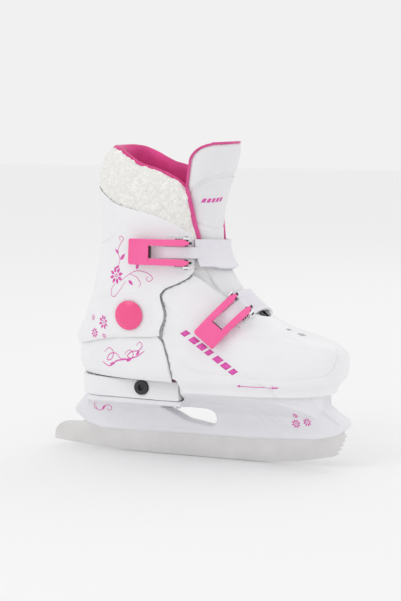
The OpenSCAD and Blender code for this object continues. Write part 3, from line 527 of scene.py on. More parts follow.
def cut_vents(piece):
    """Two rounded slots through the top of the toe, each by height, length and width."""
    cutter = bpy.data.meshes.new("vent_cutter")
    work = bmesh.new()
    for h, length, width in VENTS:
        middle = skin(h, 184, TOE_DEPTH)
        out = normal(h, 184)
        along = np.cross([0, 1, 0], out)
        side = np.cross(out, along)
        corners = [(math.cos(t) * length / 2, math.sin(t) * width * 1.6)
                   for t in np.linspace(0, 2 * math.pi, 28, endpoint=False)]
        rings = [[work.verts.new((middle + along * s + side * w + out * d) * MM) for s, w in corners]
                 for d in (-8, 6)]
        for k in range(len(corners)):
            m = (k + 1) % len(corners)
            work.faces.new((rings[0][k], rings[0][m], rings[1][m], rings[1][k]))
        work.faces.new(rings[0][::-1])
        work.faces.new(rings[1])
    bmesh.ops.recalc_face_normals(work, faces=work.faces)
    work.to_mesh(cutter)
    work.free()
    tool = bpy.data.objects.new("vent_cutter", cutter)
    bpy.context.scene.collection.objects.link(tool)
    modifier = piece.modifiers.new("vents", "BOOLEAN")
    modifier.operation = "DIFFERENCE"
    modifier.object = tool
    bake(piece)
    bpy.data.objects.remove(tool)


cuff_shell = add_cuff()
heel_cup = add_heel_shell()
toe_cap = add_toe_shell()


# --- Moulded parts rounded from their CAD solids --------------------------------------------------
def moulded(name, node, voxel, smoothing, material, body):
    """A copy of a CAD node's solid with its edges softened as a moulding's are."""
    mesh = frame["nodes"][node].data.copy()
    mesh.name = name
    mesh.materials.clear()
    mesh.materials.append(material)
    work = bmesh.new()
    work.from_mesh(mesh)
    bmesh.ops.remove_doubles(work, verts=work.verts, dist=0.01 * MM)
    work.to_mesh(mesh)
    work.free()
    piece = bpy.data.objects.new(name, mesh)
    bpy.context.scene.collection.objects.link(piece)
    remesh = piece.modifiers.new("voxels", "REMESH")
    remesh.mode = "VOXEL"
    remesh.voxel_size = voxel * MM
    remesh.use_smooth_shade = True
    soften = piece.modifiers.new("soften", "SMOOTH")
    soften.factor = 0.5
    soften.iterations = smoothing
    bake(piece)
    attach(piece, body)
    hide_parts(node)
    return piece


def shift_along_normals(piece, depth_of):
    """Moves each vertex inward by a depth worked out from its place and normal."""
    mesh = piece.data
    n = len(mesh.vertices)
    places = np.empty(n * 3)
    mesh.vertices.foreach_get("co", places)
    places = places.reshape(n, 3)
    normals = np.empty(n * 3)
    mesh.vertex_normals.foreach_get("vector", normals)
    normals = normals.reshape(n, 3)
    depth = depth_of(places / MM, normals)
    mesh.vertices.foreach_set("co", (places - normals * depth[:, None] * MM).ravel())
    mesh.update()


HOLDER_LINES = [
    [(53, 48), (70, 37.2), (84, 27.5)], [(58, 49), (76, 37.6), (91, 27.5)],
    [(-1, 46.4), (17, 47.6), (36, 47.3), (52, 42.6), (63, 35.9), (67, 26)],
    [(98, 55), (111, 46.8), (124, 39), (128, 34)],
    [(-60, 43), (-69, 35.8), (-75.7, 28), (-77.6, 22.5)],
    [(-47, 42), (-58, 36.8), (-64.4, 30), (-60, 23.5), (-50, 22)]]
HOLDER_LOW = [(-110, 34), (-99, 25), (-86, 21.9), (-62, 21.3), (5, 22.6), (56, 22.8), (109, 25.8),
              (120, 28.4), (128, 31.8), (130.5, 36), (122, 41.5), (114, 48), (110, 56)]


def holder_depth(places, normals):
    x, z = places[:, 0], places[:, 2]
    sideways = smooth((np.abs(normals[:, 1]) - 0.25) / 0.35)
    depth = sum(groove(line_distance(x, z, line), 1.1, 0.55) for line in HOLDER_LINES)
    rim = line_distance(x, z, HOLDER_LOW)
    depth = depth + 0.8 * smooth(rim / 1.8) - 0.3
    return depth * sideways


holder = moulded("blade_holder_moulding", "blade_holder", 0.95, 5, CHASSIS, "chassis")
shift_along_normals(holder, holder_depth)
heel_block = moulded("heel_block", "heel_base", 0.75, 1, WHITE, "heel")


# --- Buckles and straps ---------------------------------------------------------------------------
LEVER_W = 21
LEVER_T = 3
SLOT_W = 10.6
LEVER_BEND = 95
SLOT_SHARE = 0.64
STRAP_W = 22.5
STRAP_T = 1.8
STRAP_LIFT = 0.6
TAIL_LIFT = 3.6
HINGE_LIFT = 8.5


def unit(v):
    return v / np.linalg.norm(v)


def buckle_frame(hinge, end, depth):
    """A point and three directions of a buckle: along its lever, across, and outward."""
    p = skin(*hinge, depth - HINGE_LIFT)
    q = skin(*end, depth - HINGE_LIFT)
    out = unit(normal(*hinge) + normal(*end))
    u = unit(q - p)
    v = unit(np.cross(out, u))
    return p, u, v, np.cross(u, v)


BUCKLES = {
    "upper": dict(hinge=(110.3, 233), end=(111.5, 274.5), depth=0, reach=(88, 135), length=48,
                  strap=(98, 223, 270), sunk=[(150, 0), (165, 3.4), (196, 3.4), (212, 0)], body="cuff"),
    "lower": dict(hinge=(69.5, 211), end=(42.5, 263), depth=TOE_DEPTH, reach=(12, 110), length=44.5,
                  strap=(112, 202, 250), sunk=[(0, 0), (360, 0)], body="chassis")}


def on_plane(buckle_base, offset, a, reach):
    """Heights on the last where angles a meet the planes at offsets across a buckle's frame."""
    p, _, v, _ = buckle_base
    a, offset = np.broadcast_arrays(a, offset)
    low = np.full(a.shape, float(reach[0]))
    high = np.full(a.shape, float(reach[1]))
    for _ in range(24):
        mid = (low + high) / 2
        beyond = (point(mid, a) - p) @ v > offset
        low = np.where(beyond, mid, low)
        high = np.where(beyond, high, mid)
    return (low + high) / 2


# Pitch of the straps' ribs and ratchet teeth, and how high each stands
RIB_PITCH = 1.9
RIB_H = 0.32
TOOTH_H = 0.25


def add_strap(side):
    """A strap's ribbed band, and the toothed tail that runs through the buckle."""
    b = BUCKLES[side]
    base = buckle_frame(b["hinge"], b["end"], b["depth"])
    a0, a1, a2 = b["strap"]
    hinge_a = b["hinge"][1]

    def band(name, start, stop, width, lifts, cols, ribs):
        a = np.linspace(start, stop, cols)[:, None]
        across = np.linspace(-1, 1, 25)[None, :]
        h = on_plane(base, -across * (width / 2), a, b["reach"])
        lift = table(a, lifts, 1.5) - table(a, b["sunk"], 4)
        edge = smooth((np.abs(across) - 0.8) / 0.08) * 0.3
        rib = ribs(a) * smooth((0.8 - np.abs(across)) / 0.05)
        top = skin(h, a, b["depth"] - lift - STRAP_T - edge - rib)
        return add_sheet(name, top, skin(h, a, b["depth"] - lift), STRAP, b["body"], (), 0.4)

    def ribs(a):
        inside = smooth((a - (a1 - 26)) / 2) * smooth((a1 - 3 - a) / 2)
        return RIB_H * inside * (0.5 + 0.5 * np.sin(2 * np.pi * a / RIB_PITCH))

    def teeth(a):
        return TOOTH_H * ((a - hinge_a) / RIB_PITCH % 1) * smooth((a - hinge_a - 22) / 3)

    level = [(0, STRAP_LIFT), (360, STRAP_LIFT)]
    climb = [(hinge_a - 14, STRAP_LIFT), (hinge_a - 5, TAIL_LIFT), (hinge_a + 17, TAIL_LIFT),
             (hinge_a + 25, STRAP_LIFT)]
    strap = band(f"{side}_strap_band", a0, a1, STRAP_W, level, 400, ribs)
    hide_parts(f"{side}_strap")
    band(f"{side}_strap_tail", a1 - 4, a2, SLOT_W - 1.2, climb, 260, teeth)


def sag(length, x):
    return np.sqrt(LEVER_BEND**2 - (x - length / 2) ** 2) - math.sqrt(LEVER_BEND**2 - length**2 / 4)


def lever_outline(length, x):
    """Half widths of the lever's outside and of its slot at lengths x from the hinge."""
    outside = LEVER_W / 2 + 0.5 * smooth((22 - x) / 30) - 2.3 * smooth((2.5 - x) / 6)
    outside = outside - 1.0 * smooth((x - length + 1.6) / 1.6) ** 2
    slot = SLOT_W / 2 + 1.3 * smooth((4 - x) / 7)
    return outside, slot


def add_lever(side):
    """A forked lever: two prongs that taper to their tips, and a plate with a rounded end."""
    b = BUCKLES[side]
    length = b["length"]
    p, u, v, n = buckle_frame(b["hinge"], b["end"], b["depth"])
    start = -2.6
    xs = np.concatenate([np.linspace(start, SLOT_SHARE * length, 44),
                         np.linspace(SLOT_SHARE * length, length, 26)[1:]])
    outside, slot = lever_outline(length, xs)
    in_slot = xs <= SLOT_SHARE * length + 1e-6
    work = bmesh.new()

    def thick(x, y):
        tip = smooth((3 - x) / 5)
        return LEVER_T / 2 * (1 + 0.35 * tip) - 0.2 * smooth((abs(y) - LEVER_W / 2 + 2) / 2)

    def place(x, y, up):
        crown = 0.35 * (1 - (y / (LEVER_W / 2)) ** 2)
        z = sag(length, np.clip(x, 0, length)) + up * thick(x, y) + (crown if up > 0 else 0)
        return Vector((p + x * u + y * v + z * n) * MM)

    def strip(inner, outer, span, columns):
        """Grid between two half widths along a span of xs, closed on all sides."""
        grid = [[[work.verts.new(place(xs[i], mix(inner[i], outer[i], c / columns), up))
                  for c in range(columns + 1)] for i in span] for up in (1, -1)]
        top, low = grid
        last_i = len(span) - 1
        for i in range(last_i):
            for c in range(columns):
                work.faces.new((top[i][c], top[i + 1][c], top[i + 1][c + 1], top[i][c + 1]))
                work.faces.new((low[i][c], low[i][c + 1], low[i + 1][c + 1], low[i + 1][c]))
            for c in (0, columns):
                work.faces.new((top[i][c], low[i][c], low[i + 1][c], top[i + 1][c]))
        for i in (0, last_i):
            for c in range(columns):
                work.faces.new((top[i][c], top[i][c + 1], low[i][c + 1], low[i][c]))

    slots = np.flatnonzero(in_slot)
    plate = np.flatnonzero(xs >= SLOT_SHARE * length - 1e-6)
    for s in (-1, 1):
        strip(s * slot, s * outside, slots, 6)
    strip(-outside, outside, plate, 24)
    bmesh.ops.remove_doubles(work, verts=work.verts, dist=0.02 * MM)
    inside = [f for f in work.faces if all(len(e.link_faces) > 2 for e in f.edges)]
    bmesh.ops.delete(work, geom=inside, context="FACES_ONLY")
    bmesh.ops.recalc_face_normals(work, faces=work.faces)
    mesh = bpy.data.meshes.new(f"{side}_lever_moulding")
    work.to_mesh(mesh)
    work.free()
    mesh.polygons.foreach_set("use_smooth", [True] * len(mesh.polygons))
    mesh.materials.append(LEVER)
    piece = bpy.data.objects.new(f"{side}_lever_moulding", mesh)
    bpy.context.scene.collection.objects.link(piece)
    bevel(piece, 0.5, 3, 45)
    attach(piece, f"{side}_lever")
    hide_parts(f"{side}_lever")
    add_tips(side, p, u, v, n, length)
    return piece


def add_tips(side, p, u, v, n, length):
    """Black serrated bits at the prongs' tips, ribs along the base's outer edges, and a black bar at each slot's
    end that is partly the ratchet pawl and partly painted shadow.
    """
    for s, end in ((-1, "top"), (1, "bottom")):
        points, faces = [], []

        def block(x0, x1, y0, y1, z0, z1):
            k = len(points)
            points.extend(p + x * u + y * v + z * n for x in (x0, x1) for y in (y0, y1) for z in (z0, z1))
            faces.extend([tuple(k + i for i in f) for f in (
                (0, 1, 3, 2), (4, 6, 7, 5), (0, 4, 5, 1), (2, 3, 7, 6), (0, 2, 6, 4), (1, 5, 7, 3))])

        y = s * (LEVER_W / 2)
        block(-4.4, -2.3, y - s * 3.6, y - s * 1.6, -1.6, 1.5)
        for k in range(5):
            x = -1.2 + k * 2.3
            out = 0.3 + 0.55 * min(1, (k + 1) / 2)
            block(x, x + 1.3, y - s * 0.7, y + s * out, -1.6, 1.0)
        # Black bar across the slot's end: partly the ratchet pawl's edge, partly painted shadow under the lever
        # plate.
        block(SLOT_SHARE * length - 1.3, SLOT_SHARE * length - 0.1,
              s * 0.02, s * (SLOT_W / 2 - 0.3), -0.6, 2.6)
        tip = add_piece(f"{side}_buckle_{end}_edge", points, faces, BLACK, BUCKLES[side]["body"],
                        (), True)
        fix_normals(tip)
        bevel(tip, 0.25, 2, 30)


for buckle_side in BUCKLES:
    add_strap(buckle_side)
    add_lever(buckle_side)


# --- Collar, lining and tongue --------------------------------------------------------------------
TONGUE_HALF = [(46, 24), (66, 24), (88, 32), (112, 34), (124, 36), (147, 45), (163, 53), (176, 54.5),
               (196, 54.5)]
TONGUE_SINK = [(46, 13.4), (67, 13.2), (76, 10.5), (86, 7), (96, 4.8), (108, 4.2), (130, 4.2), (200, 4.2)]
COLLAR_TOP = [(0, 196), (0.3, 196), (0.45, 194.5), (0.57, 190), (0.66, 184.5), (0.72, 181), (0.82, 176.5),
              (0.9, 171.5), (1, 163)]
COLLAR_FOOT = [(0, 84), (0.5, 84), (0.58, 98), (1, 98)]
# How far the collar's rim leans inward, from the heel round to its front ends
COLLAR_LEAN = [(0, 8.5), (0.35, 7), (0.6, 3.5), (0.85, 1), (1, 0)]


def collar_front(h):
    return 180 - table(h, TONGUE_HALF) - 1


def cuff_edge(u):
    """Height of the cuff's top edge along the collar."""
    return table(np.abs(u), [(0, 163), (0.2, 161), (0.35, 155), (0.5, 147), (0.62, 143), (0.75, 136),
                             (0.88, 124), (1, 112)], 0.03)


# Points on the collar's section from one knot to the next
KNOT_STEPS = 14


def collar_section(u, knots):
    """A smooth curve through knots (depth, height) at each place u along the collar."""
    t = np.linspace(0, len(knots) - 1, KNOT_STEPS * (len(knots) - 1) + 1)
    k = np.clip(t.astype(int), 0, len(knots) - 2)
    f = t - k
    depth = np.stack([np.broadcast_to(q[0], u.shape) for q in knots], -1)
    height = np.stack([np.broadcast_to(q[1], u.shape) for q in knots], -1)

    def through(v):
        before, after = v[:, np.maximum(k - 1, 0)], v[:, np.minimum(k + 2, len(knots) - 1)]
        v0, v1 = v[:, k], v[:, k + 1]
        m0, m1 = (v1 - before) / 2, (after - v0) / 2
        return ((2 * f**3 - 3 * f**2 + 1) * v0 + (f**3 - 2 * f**2 + f) * m0
                + (3 * f**2 - 2 * f**3) * v1 + (f**3 - f**2) * m1)

    return through(depth), through(height)


def add_collar_part(name, knots_of, cols, material, replaced, limit=1.0):
    u = np.linspace(-limit, limit, cols)
    top = table(np.abs(u), COLLAR_TOP, 0.04)
    foot = table(np.abs(u), COLLAR_FOOT, 0.01)
    depth, h = collar_section(u, knots_of(u, top, foot, cuff_edge(u)))
    a = u[:, None] * collar_front(h)
    places = skin(h, a, depth)
    ring = places.shape[1]
    faces = []
    for i in range(cols - 1):
        for j in range(ring):
            m = (j + 1) % ring
            faces.append((i * ring + j, i * ring + m, (i + 1) * ring + m, (i + 1) * ring + j))
    faces.append(tuple(range(ring)))
    faces.append(tuple((cols - 1) * ring + j for j in reversed(range(ring))))
    piece = add_piece(name, places, faces, material, None, replaced)
    fix_normals(piece)
    return piece


def fleece_knots(u, top, foot, edge):
    lean = table(np.abs(u), COLLAR_LEAN, 0.05)
    return [(5.2, foot), (5.2, edge - 5), (2.4, edge + 1), (1.2 + 0.12 * lean, edge + 7),
            (1.2 + 0.4 * lean, mix(edge, top, 0.55)), (2.4 + 0.8 * lean, top - 7),
            (5.2 + lean, top - 1.9), (8.2 + lean, top - 1.6), (10.4 + lean, top - 6),
            (11 + 0.5 * lean, top - 20), (11.5, edge - 6), (10.5, foot + 1)]


def lining_knots(u, top, foot, edge):
    lean = table(np.abs(u), COLLAR_LEAN, 0.05)
    return [(6.2 + lean, top - 1.6), (8.6 + lean, top + 0.3), (11.8 + lean, top - 1.4),
            (13.8 + lean, top - 7), (14.4 + 0.6 * lean, top - 22), (14.6, edge - 12), (14.4, foot + 1),
            (13.4, foot + 1), (12.4, edge - 12), (12.4 + 0.5 * lean, top - 20),
            (11.2 + lean, top - 8), (9.4 + lean, top - 3)]


def curls(places, _normals):
    """Depth of curly fleece: round tufts in two sizes over soft waves."""
    depth = np.empty(len(places))
    for i, q in enumerate(places):
        big = noise.voronoi(Vector(q * 0.2))[0][0]
        small = noise.voronoi(Vector(q * 0.5 + 31))[0][0]
        wave = noise.noise(Vector(q * 0.09))
        depth[i] = 1.7 * big + 0.9 * small - 0.5 * wave - 0.9
    return depth


collar = add_collar_part("fleece_collar", fleece_knots, 330, FLEECE, ("collar",))
shift_along_normals(collar, curls)
lining = add_collar_part("collar_satin", lining_knots, 200, LINING, ("collar_lining",), 1.004)


def tube(name, path, radius, material, body=None, replaced=(), sides=12):
    """A round tube along a path; radius is one number or one for each point."""
    path = np.asarray(path, float)
    radius = np.broadcast_to(radius, len(path))
    along = np.gradient(path, axis=0)
    along /= np.linalg.norm(along, axis=1, keepdims=True)
    side = np.cross(along[0], [0.3, 0.5, 0.8])
    points = []
    for q, t, r in zip(path, along, radius):
        side = unit(side - (side @ t) * t)
        up = np.cross(t, side)
        points += [q + r * (math.cos(k * 2 * math.pi / sides) * side + math.sin(k * 2 * math.pi / sides) * up)
                   for k in range(sides)]
    n = len(path)
    faces = [(i * sides + k, i * sides + (k + 1) % sides,
              (i + 1) * sides + (k + 1) % sides, (i + 1) * sides + k)
             for i in range(n - 1) for k in range(sides)]
    faces += [tuple(range(sides))[::-1], tuple((n - 1) * sides + k for k in range(sides))]
    piece = add_piece(name, points, faces, material, body, replaced)
    fix_normals(piece)
    return piece


TONGUE_FOOT = 46
TONGUE_TOP = 197
TONGUE_T = 8


def tongue_width(h):
    """Half angle of the tongue, with its two top corners rounded."""
    corner = 13
    over = np.clip((h - (TONGUE_TOP - corner)) / corner, 0, 1)
    return table(h, TONGUE_HALF, 2) - 19 * (1 - np.sqrt(1 - over**2 * 0.999))


ARCH_TOP = 172


def tongue_relief(h, turn, width):
    """Seams sewn into the tongue: an arch below its top, and a panel line further down."""
    share = turn / np.maximum(width, 1)
    arch = h - (ARCH_TOP - 14 * np.abs(share) ** 3.2)
    lower = h - (128 + 6 * share**2)
    return groove(arch, 1.3, 1.1) + groove(lower, 1.3, 0.8)


def add_tongue():
    i = np.linspace(-1, 1, 121)[:, None]
    j = np.linspace(0, 1, 241)[None, :]
    h = mix(TONGUE_FOOT, TONGUE_TOP, j) + 0 * i
    width = tongue_width(h)
    turn = i * width
    edge = np.sqrt(np.clip(1 - i**8, 0, 1)) * smooth((TONGUE_TOP - h) / 5 + 0.25)
    sink = table(h, TONGUE_SINK, 2)
    puff = 0.8 * (1 - i**2) * smooth((h - 126) / 30)
    outer = skin(h, 180 + turn, sink + 2.6 * (1 - edge) - puff + tongue_relief(h, turn, width))
    inner = skin(h, 180 + turn, sink + TONGUE_T - 2.6 * (1 - edge))
    piece = add_sheet("padded_tongue", outer, inner, TONGUE, None, ("tongue",), 0.9)
    return bake(piece)


tongue = add_tongue()


def tongue_edge(h, s, out=0.0):
    return skin(h, 180 + s * (tongue_width(h) + out), table(h, TONGUE_SINK, 2) + 1.6)


heights = np.concatenate([np.linspace(154, 180, 24), TONGUE_TOP - 17 * (1 - np.sin(np.linspace(0, 1.5, 26)))])
over_top = np.linspace(-1, 1, 40)[:, None] * tongue_width(np.array([TONGUE_TOP]))
rim = np.concatenate([tongue_edge(heights, -1, 1.2),
                      skin(TONGUE_TOP + 0.8, 180 + over_top[:, 0], 5.8),
                      tongue_edge(heights[::-1], 1, 1.2)])
piping = tube("tongue_edge_piping", rim, 1.05, PIPING, None, ("tongue_piping",))

def add_gusset(side):
    """White cloth that fills the gap between the toe shell's rear edge, the cuff and the tongue."""
    turn = np.linspace(22, 66, 45)[:, None]
    h = np.linspace(78, 113, 61)[None, :] + 0 * turn
    rear = smooth((turn - 54) / 10)
    depth = table(h, [(78, 9.8), (91, 9.6), (97, 7.2), (103, 5), (113, 4.4)], 2)
    depth = mix(depth, 9.8, rear) + 4 * smooth((30 - turn) / 8)
    a = 180 + side * turn
    folds = 0.25 * np.sin(h * 0.55 + turn * 0.12)
    return add_sheet(f"gusset_{'inner' if side < 0 else 'outer'}", skin(h, a, depth + folds),
                     skin(h, a, depth + 1.2), TONGUE, "chassis", (), 0.3)


for gusset_side in (-1, 1):
    add_gusset(gusset_side)

# Satin binding down each front edge of the collar
bindings = []
for s in (-1, 1):
    h = np.linspace(112, 164, 60)
    line = skin(h, s * (collar_front(h) - 0.5), table(h, [(112, 2.6), (150, 2.2), (164, 4.5)], 3))
    bindings.append(tube(f"collar_binding_{'inner' if s > 0 else 'outer'}", line,
                         table(h, [(112, 2.2), (135, 2.1), (155, 1.7), (164, 1.3)]), PIPING))


def stitches(name, path, length, gap, radius, material):
    """Sewn thread: short rounded stitches along a path."""
    path = np.asarray(path, float)
    spots = np.concatenate([[0], np.cumsum(np.linalg.norm(np.diff(path, axis=0), axis=1))])
    points, faces = [], []
    sides = 6
    start = 0.0
    while start + length < spots[-1]:
        ends = [np.array([np.interp(start + f * length, spots, path[:, c]) for c in range(3)])
                for f in (0, 0.25, 0.75, 1)]
        t = unit(ends[-1] - ends[0])
        side = unit(np.cross(t, [0.1, 0.9, 0.3]))
        up = np.cross(t, side)
        first = len(points)
        for q, r in zip(ends, (0.35, 1, 1, 0.35)):
            points += [q + radius * r * (math.cos(k * math.tau / sides) * side
                                         + math.sin(k * math.tau / sides) * up) for k in range(sides)]
        faces += [(first + m * sides + k, first + m * sides + (k + 1) % sides,
                   first + (m + 1) * sides + (k + 1) % sides, first + (m + 1) * sides + k)
                  for m in range(3) for k in range(sides)]
        faces += [tuple(first + k for k in range(sides))[::-1],
                  tuple(first + 3 * sides + k for k in range(sides))]
        start += length + gap
    return add_piece(name, points, faces, material, None)


share = np.linspace(-0.96, 0.96, 160)
arch_h = ARCH_TOP - 14 * np.abs(share) ** 3.2
arch_turn = share * tongue_width(arch_h)
arch_path = skin(arch_h - 1.9, 180 + arch_turn, table(arch_h, TONGUE_SINK) - 0.8 * (1 - share**2) - 0.1)
arch_seam = stitches("tongue_arch_stitches", arch_path, 2.1, 0.9, 0.28, THREAD)

SOFT = [collar, lining, tongue, piping, arch_seam, *bindings]
for soft in SOFT:
    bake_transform(soft)


# --- Printed decorations --------------------------------------------------------------------------
def petal(length, width, angle, start, x=0.0, y=0.0, steps=7):
    """A pointed petal from a start radius outward, as a strip of quads."""
    t = np.linspace(0, 1, steps)
    half = width / 2 * np.sin(np.pi * t**0.8) ** 0.9 + 0.02
    c, s = math.cos(angle), math.sin(angle)
    r = start + t * length
    rows_of = [[(x + c * q - s * w, y + s * q + c * w) for w in (-hw, 0, hw)] for q, hw in zip(r, half)]
    return rows_of


def stroke(points, width, taper=True, steps=36):
    """A smooth line through points, as a strip of quads."""
    points = np.asarray(points, float)
    t = np.linspace(0, len(points) - 1, steps)
    k = np.clip(t.astype(int), 0, len(points) - 2)
    f = (t - k)[:, None]
    before, after = points[np.maximum(k - 1, 0)], points[np.minimum(k + 2, len(points) - 1)]
    m0, m1 = (points[k + 1] - before) / 2, (after - points[k]) / 2
    line = ((2 * f**3 - 3 * f**2 + 1) * points[k] + (f**3 - 2 * f**2 + f) * m0
            + (3 * f**2 - 2 * f**3) * points[k + 1] + (f**3 - f**2) * m1)
    along = np.gradient(line, axis=0)
    along /= np.linalg.norm(along, axis=1, keepdims=True) + 1e-9
    side = np.stack([-along[:, 1], along[:, 0]], 1)
    half = width / 2 * (np.sin(np.pi * np.linspace(0.06, 0.94, steps)) ** 0.5 if taper else np.ones(steps))
    return [[tuple(q - s * w), tuple(q), tuple(q + s * w)] for q, s, w in zip(line, side, half)]


def ring(x, y, r, width, steps=20):
    angles = np.linspace(0, math.tau, steps)
    return [[(x + q * math.cos(a), y + q * math.sin(a)) for q in (r - width / 2, r, r + width / 2)]
            for a in angles]


def flower(x, y, r, petals=8):
    parts = [petal(r * 0.66, r * 0.36, k * math.tau / petals + 0.3, r * 0.34, x, y) for k in range(petals)]
    return parts + [ring(x, y, r * 0.17, r * 0.1)]


def bar(x, y, w, h, slant, angle=0.0):
    c, s = math.cos(angle), math.sin(angle)
    strip = []
    for t in np.linspace(0, 1, max(3, int(w / 1.2))):
        row = [(x + t * w + slant * v * h, y + v * h) for v in (0, 0.5, 1)]
        strip.append([(x + (px - x) * c - (py - y) * s, y + (px - x) * s + (py - y) * c) for px, py in row])
    return strip


def stamp(name, target, h, a, depth, strips, body, turn=0.0, lift=0.07, side=-1, material=INK):
    """Lays flat strips on a piece around a place of the last; +x runs to the toe and +y upward."""
    origin, out = skin(h, a, depth), normal(h, a)
    lay(name, target, origin, out, strips, body, turn, lift, side, material)


def lay(name, target, origin, out, strips, body, turn=0.0, lift=0.07, side=-1, material=INK):
    right = unit(np.cross([0, 0, side], out)) * -1
    right = right if right[0] > 0 else -right
    up = np.cross(out, right)
    up = up if up[2] > 0 else -up
    c, s = math.cos(turn), math.sin(turn)
    tree = TREES.setdefault(target.name, tree_of(target))
    points, faces = [], []
    for strip in strips:
        first = len(points)
        width = len(strip[0])
        for row in strip:
            for x, y in row:
                q = origin + right * (x * c - y * s) + up * (x * s + y * c) + out * 12
                spot, face_out, _, _ = tree.ray_cast(Vector(q * MM), Vector(-out), 0.03)
                if spot is None:
                    points.append(q - out * 12)
                else:
                    points.append(np.array(spot) / MM + np.array(face_out) * lift)
        for i in range(len(strip) - 1):
            for j in range(width - 1):
                k = first + i * width + j
                faces.append((k, k + 1, k + width + 1, k + width))
    piece = add_piece(name, points, faces, material, body)
    solid = piece.modifiers.new("ink", "SOLIDIFY")
    solid.thickness = 0.05 * MM
    solid.offset = 0
    return piece


TREES = {}


def tree_of(target):
    graph = bpy.context.evaluated_depsgraph_get()
    return BVHTree.FromObject(target, graph)


VINE = [stroke([(1, 6), (3.5, 13), (1, 20), (4.5, 27), (7, 30), (4.4, 32.5), (2.4, 30.5), (4.2, 28.8)], 0.55),
        stroke([(4, -5), (12, 1), (20, 5), (29, 4), (34, 0), (31, -3), (28.5, -0.5), (30.6, 1)], 0.55),
        stroke([(0, -6), (-4, -11), (-3, -16), (2, -17), (6, -12), (10, -4)], 0.6),
        stroke([(14, 2), (20, 0), (24, -5), (23, -8)], 0.5),
        petal(7, 2.8, 0.85, 0, 4, 13), petal(6.5, 2.6, 1.45, 0, 20, 6), petal(5.5, 2.2, 2.4, 0, 2, 18),
        petal(6, 2.4, -0.7, 0, 13, -3), petal(5, 2, 3.6, 0, 3, 8)]
CUFF_DECALS = (("vine", 90.5, 293.5, flower(0, 0, 7.3) + VINE), ("flowers", 51.5, 308, flower(0, 0, 6.2)),
               ("bloom", 41.5, 318, flower(0, 0, 4.4)), ("ring", 40, 310.5, [ring(0, 0, 1.4, 0.8)]),
               ("bud", 54, 320, flower(0, 0, 2.8, 6)))
SIDES = ((1, "outer"), (-1, "inner"))


def at(angle, mirror):
    """An angle on the outer side, or its mirror image on the inner side."""
    return angle if mirror == 1 else 360 - angle


for mirror, where in SIDES:
    for decal, h, angle, strips in CUFF_DECALS:
        stamp(f"cuff_{decal}_{where}", cuff_shell, h, at(angle, mirror), 0, strips, "cuff")

SWASH = [stroke([(-22, -6), (-14, -9), (-6, -4), (4, -2), (14, 1), (22, 6)], 1.1),
         stroke([(-20, 2), (-15, 6), (-10, 3), (-12, -3), (-17, -4), (-14, 1), (-7, 2), (-2, -2), (3, -1)],
                0.8),
         stroke([(2, 2), (7, 6), (11, 3), (9, -1), (5, 1), (10, 5), (16, 6), (20, 10), (17, 13), (14, 10)],
                0.8),
         petal(6, 2.2, 0.4, 0, 4, -3.5), petal(6, 2.2, 3.4, 0, -8, -6), petal(5, 2, 0.9, 0, 14, 2)]
SLANTED = [bar(k * 8.4, 0, 6.4 if k % 3 else 4.6, 5.4, 0.45) for k in range(7)]
ARROW = [bar(-14, -0.35, 26, 0.7, 0),
         [[(12, 2.4), (12, 0), (12, -2.4)], [(17.5, 0.05), (17.5, 0), (17.5, -0.05)]],
         [[(-14, 1.2), (-14, 0), (-14, -1.2)], [(-17, 0.05), (-17, 0), (-17, -0.05)]]]
for mirror, where in SIDES:
    stamp(f"heel_swash_{where}", heel_cup, 24, at(303, mirror), HEEL_DEPTH, SWASH, "heel")
    stamp(f"toe_bars_{where}", toe_cap, 47, at(269, mirror), TOE_DEPTH, SLANTED, "chassis", turn=-0.6)
    stamp(f"toe_arrow_{where}", toe_cap, 3.4, at(250, mirror), TOE_DEPTH - 1.4, ARROW, "chassis")
    for x, z, r, name in ((94.5, 42.7, 2.4, "bud"), (93.2, 35.2, 4.0, "bloom"), (103.1, 37.2, 3.7, "flower")):
        lay(f"holder_{name}_{where}", holder, np.array([x, -9 * mirror, z]), np.array([0.0, -mirror, 0.0]),
            flower(0, 0, r, 8), "chassis")
    lay(f"holder_swirl_{where}", holder, np.array([-83, -9 * mirror, 36]), np.array([0.0, -mirror, 0.0]),
        [stroke([(-7, 2), (-6, -2), (-1, -2), (3, 2), (7, 2), (8, -1), (5, -2), (4, 0)], 0.6),
         stroke([(-5, 4), (-8, 3), (-8, -1), (-5, -1)], 0.5), petal(5, 1.8, 1.0, 0, -1, -2)], "chassis")
stamp("tongue_bars", tongue, 150, 204, 0.5, [bar(k * 4.6 - 8, 0, 3.2, 3.4, 0.5) for k in range(5)], None)
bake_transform(bpy.data.objects["tongue_bars"])


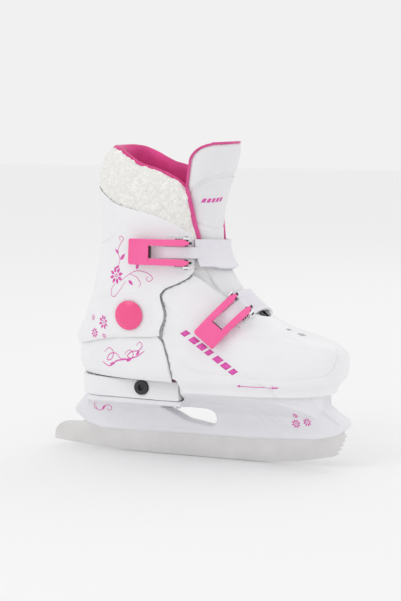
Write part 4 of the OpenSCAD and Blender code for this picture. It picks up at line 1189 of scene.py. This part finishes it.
# --- Camera, floor and light ----------------------------------------------------------------------
VIEW_TURN = math.radians(24)
VIEW_RISE = math.radians(6.3)
VIEW_DISTANCE = 1.5
VIEW_TARGET = Vector((0.0042, 0, 0.1304))
LENS = 108.6
SENSOR_W = 36
FLOOR_HALF = 6
FLOOR_DROP = 0.0006
FLOOR_GREY = 0.96
WORLD_STRENGTH = 0.88

camera_data = bpy.data.cameras.new("camera")
camera_data.lens = LENS
camera_data.sensor_width = SENSOR_W
camera = bpy.data.objects.new("camera", camera_data)
bpy.context.scene.collection.objects.link(camera)
ahead = Vector((-math.sin(VIEW_TURN) * math.cos(VIEW_RISE), math.cos(VIEW_TURN) * math.cos(VIEW_RISE),
                -math.sin(VIEW_RISE)))
camera.location = VIEW_TARGET - ahead * VIEW_DISTANCE
camera.rotation_euler = ahead.to_track_quat("-Z", "Y").to_euler()
bpy.context.scene.camera = camera


def add_floor():
    floor_mesh = bpy.data.meshes.new("floor")
    half = FLOOR_HALF
    floor_mesh.from_pydata([(-half, -half, 0), (half, -half, 0), (half, half, 0), (-half, half, 0)], [],
                           [(0, 1, 2, 3)])
    floor_mesh.materials.append(new_material("floor", (FLOOR_GREY,) * 3, 0.9)[0])
    floor = bpy.data.objects.new("floor", floor_mesh)
    floor.location.z = -FLOOR_DROP
    bpy.context.scene.collection.objects.link(floor)


def add_light(name, place, size, power, aim=(0, 0, 0.12), color=(1, 1, 1)):
    data = bpy.data.lights.new(name, "AREA")
    data.size = size
    data.energy = power
    data.color = color
    light = bpy.data.objects.new(name, data)
    light.location = place
    light.rotation_euler = (Vector(aim) - Vector(place)).to_track_quat("-Z", "Y").to_euler()
    bpy.context.scene.collection.objects.link(light)


add_floor()
add_light("key", (-0.7, -1.2, 1.5), 0.9, 3)
add_light("fill", (1.5, -0.5, 0.7), 1.2, 0.6)
add_light("back", (0.3, 1.4, 1.3), 1.2, 1.5)
world = bpy.data.worlds.new("studio")
world.use_nodes = True
world.node_tree.nodes["Background"].inputs["Color"].default_value = (1, 1, 1, 1)
world.node_tree.nodes["Background"].inputs["Strength"].default_value = WORLD_STRENGTH
bpy.context.scene.world = world
bpy.context.scene.view_settings.view_transform = "Standard"
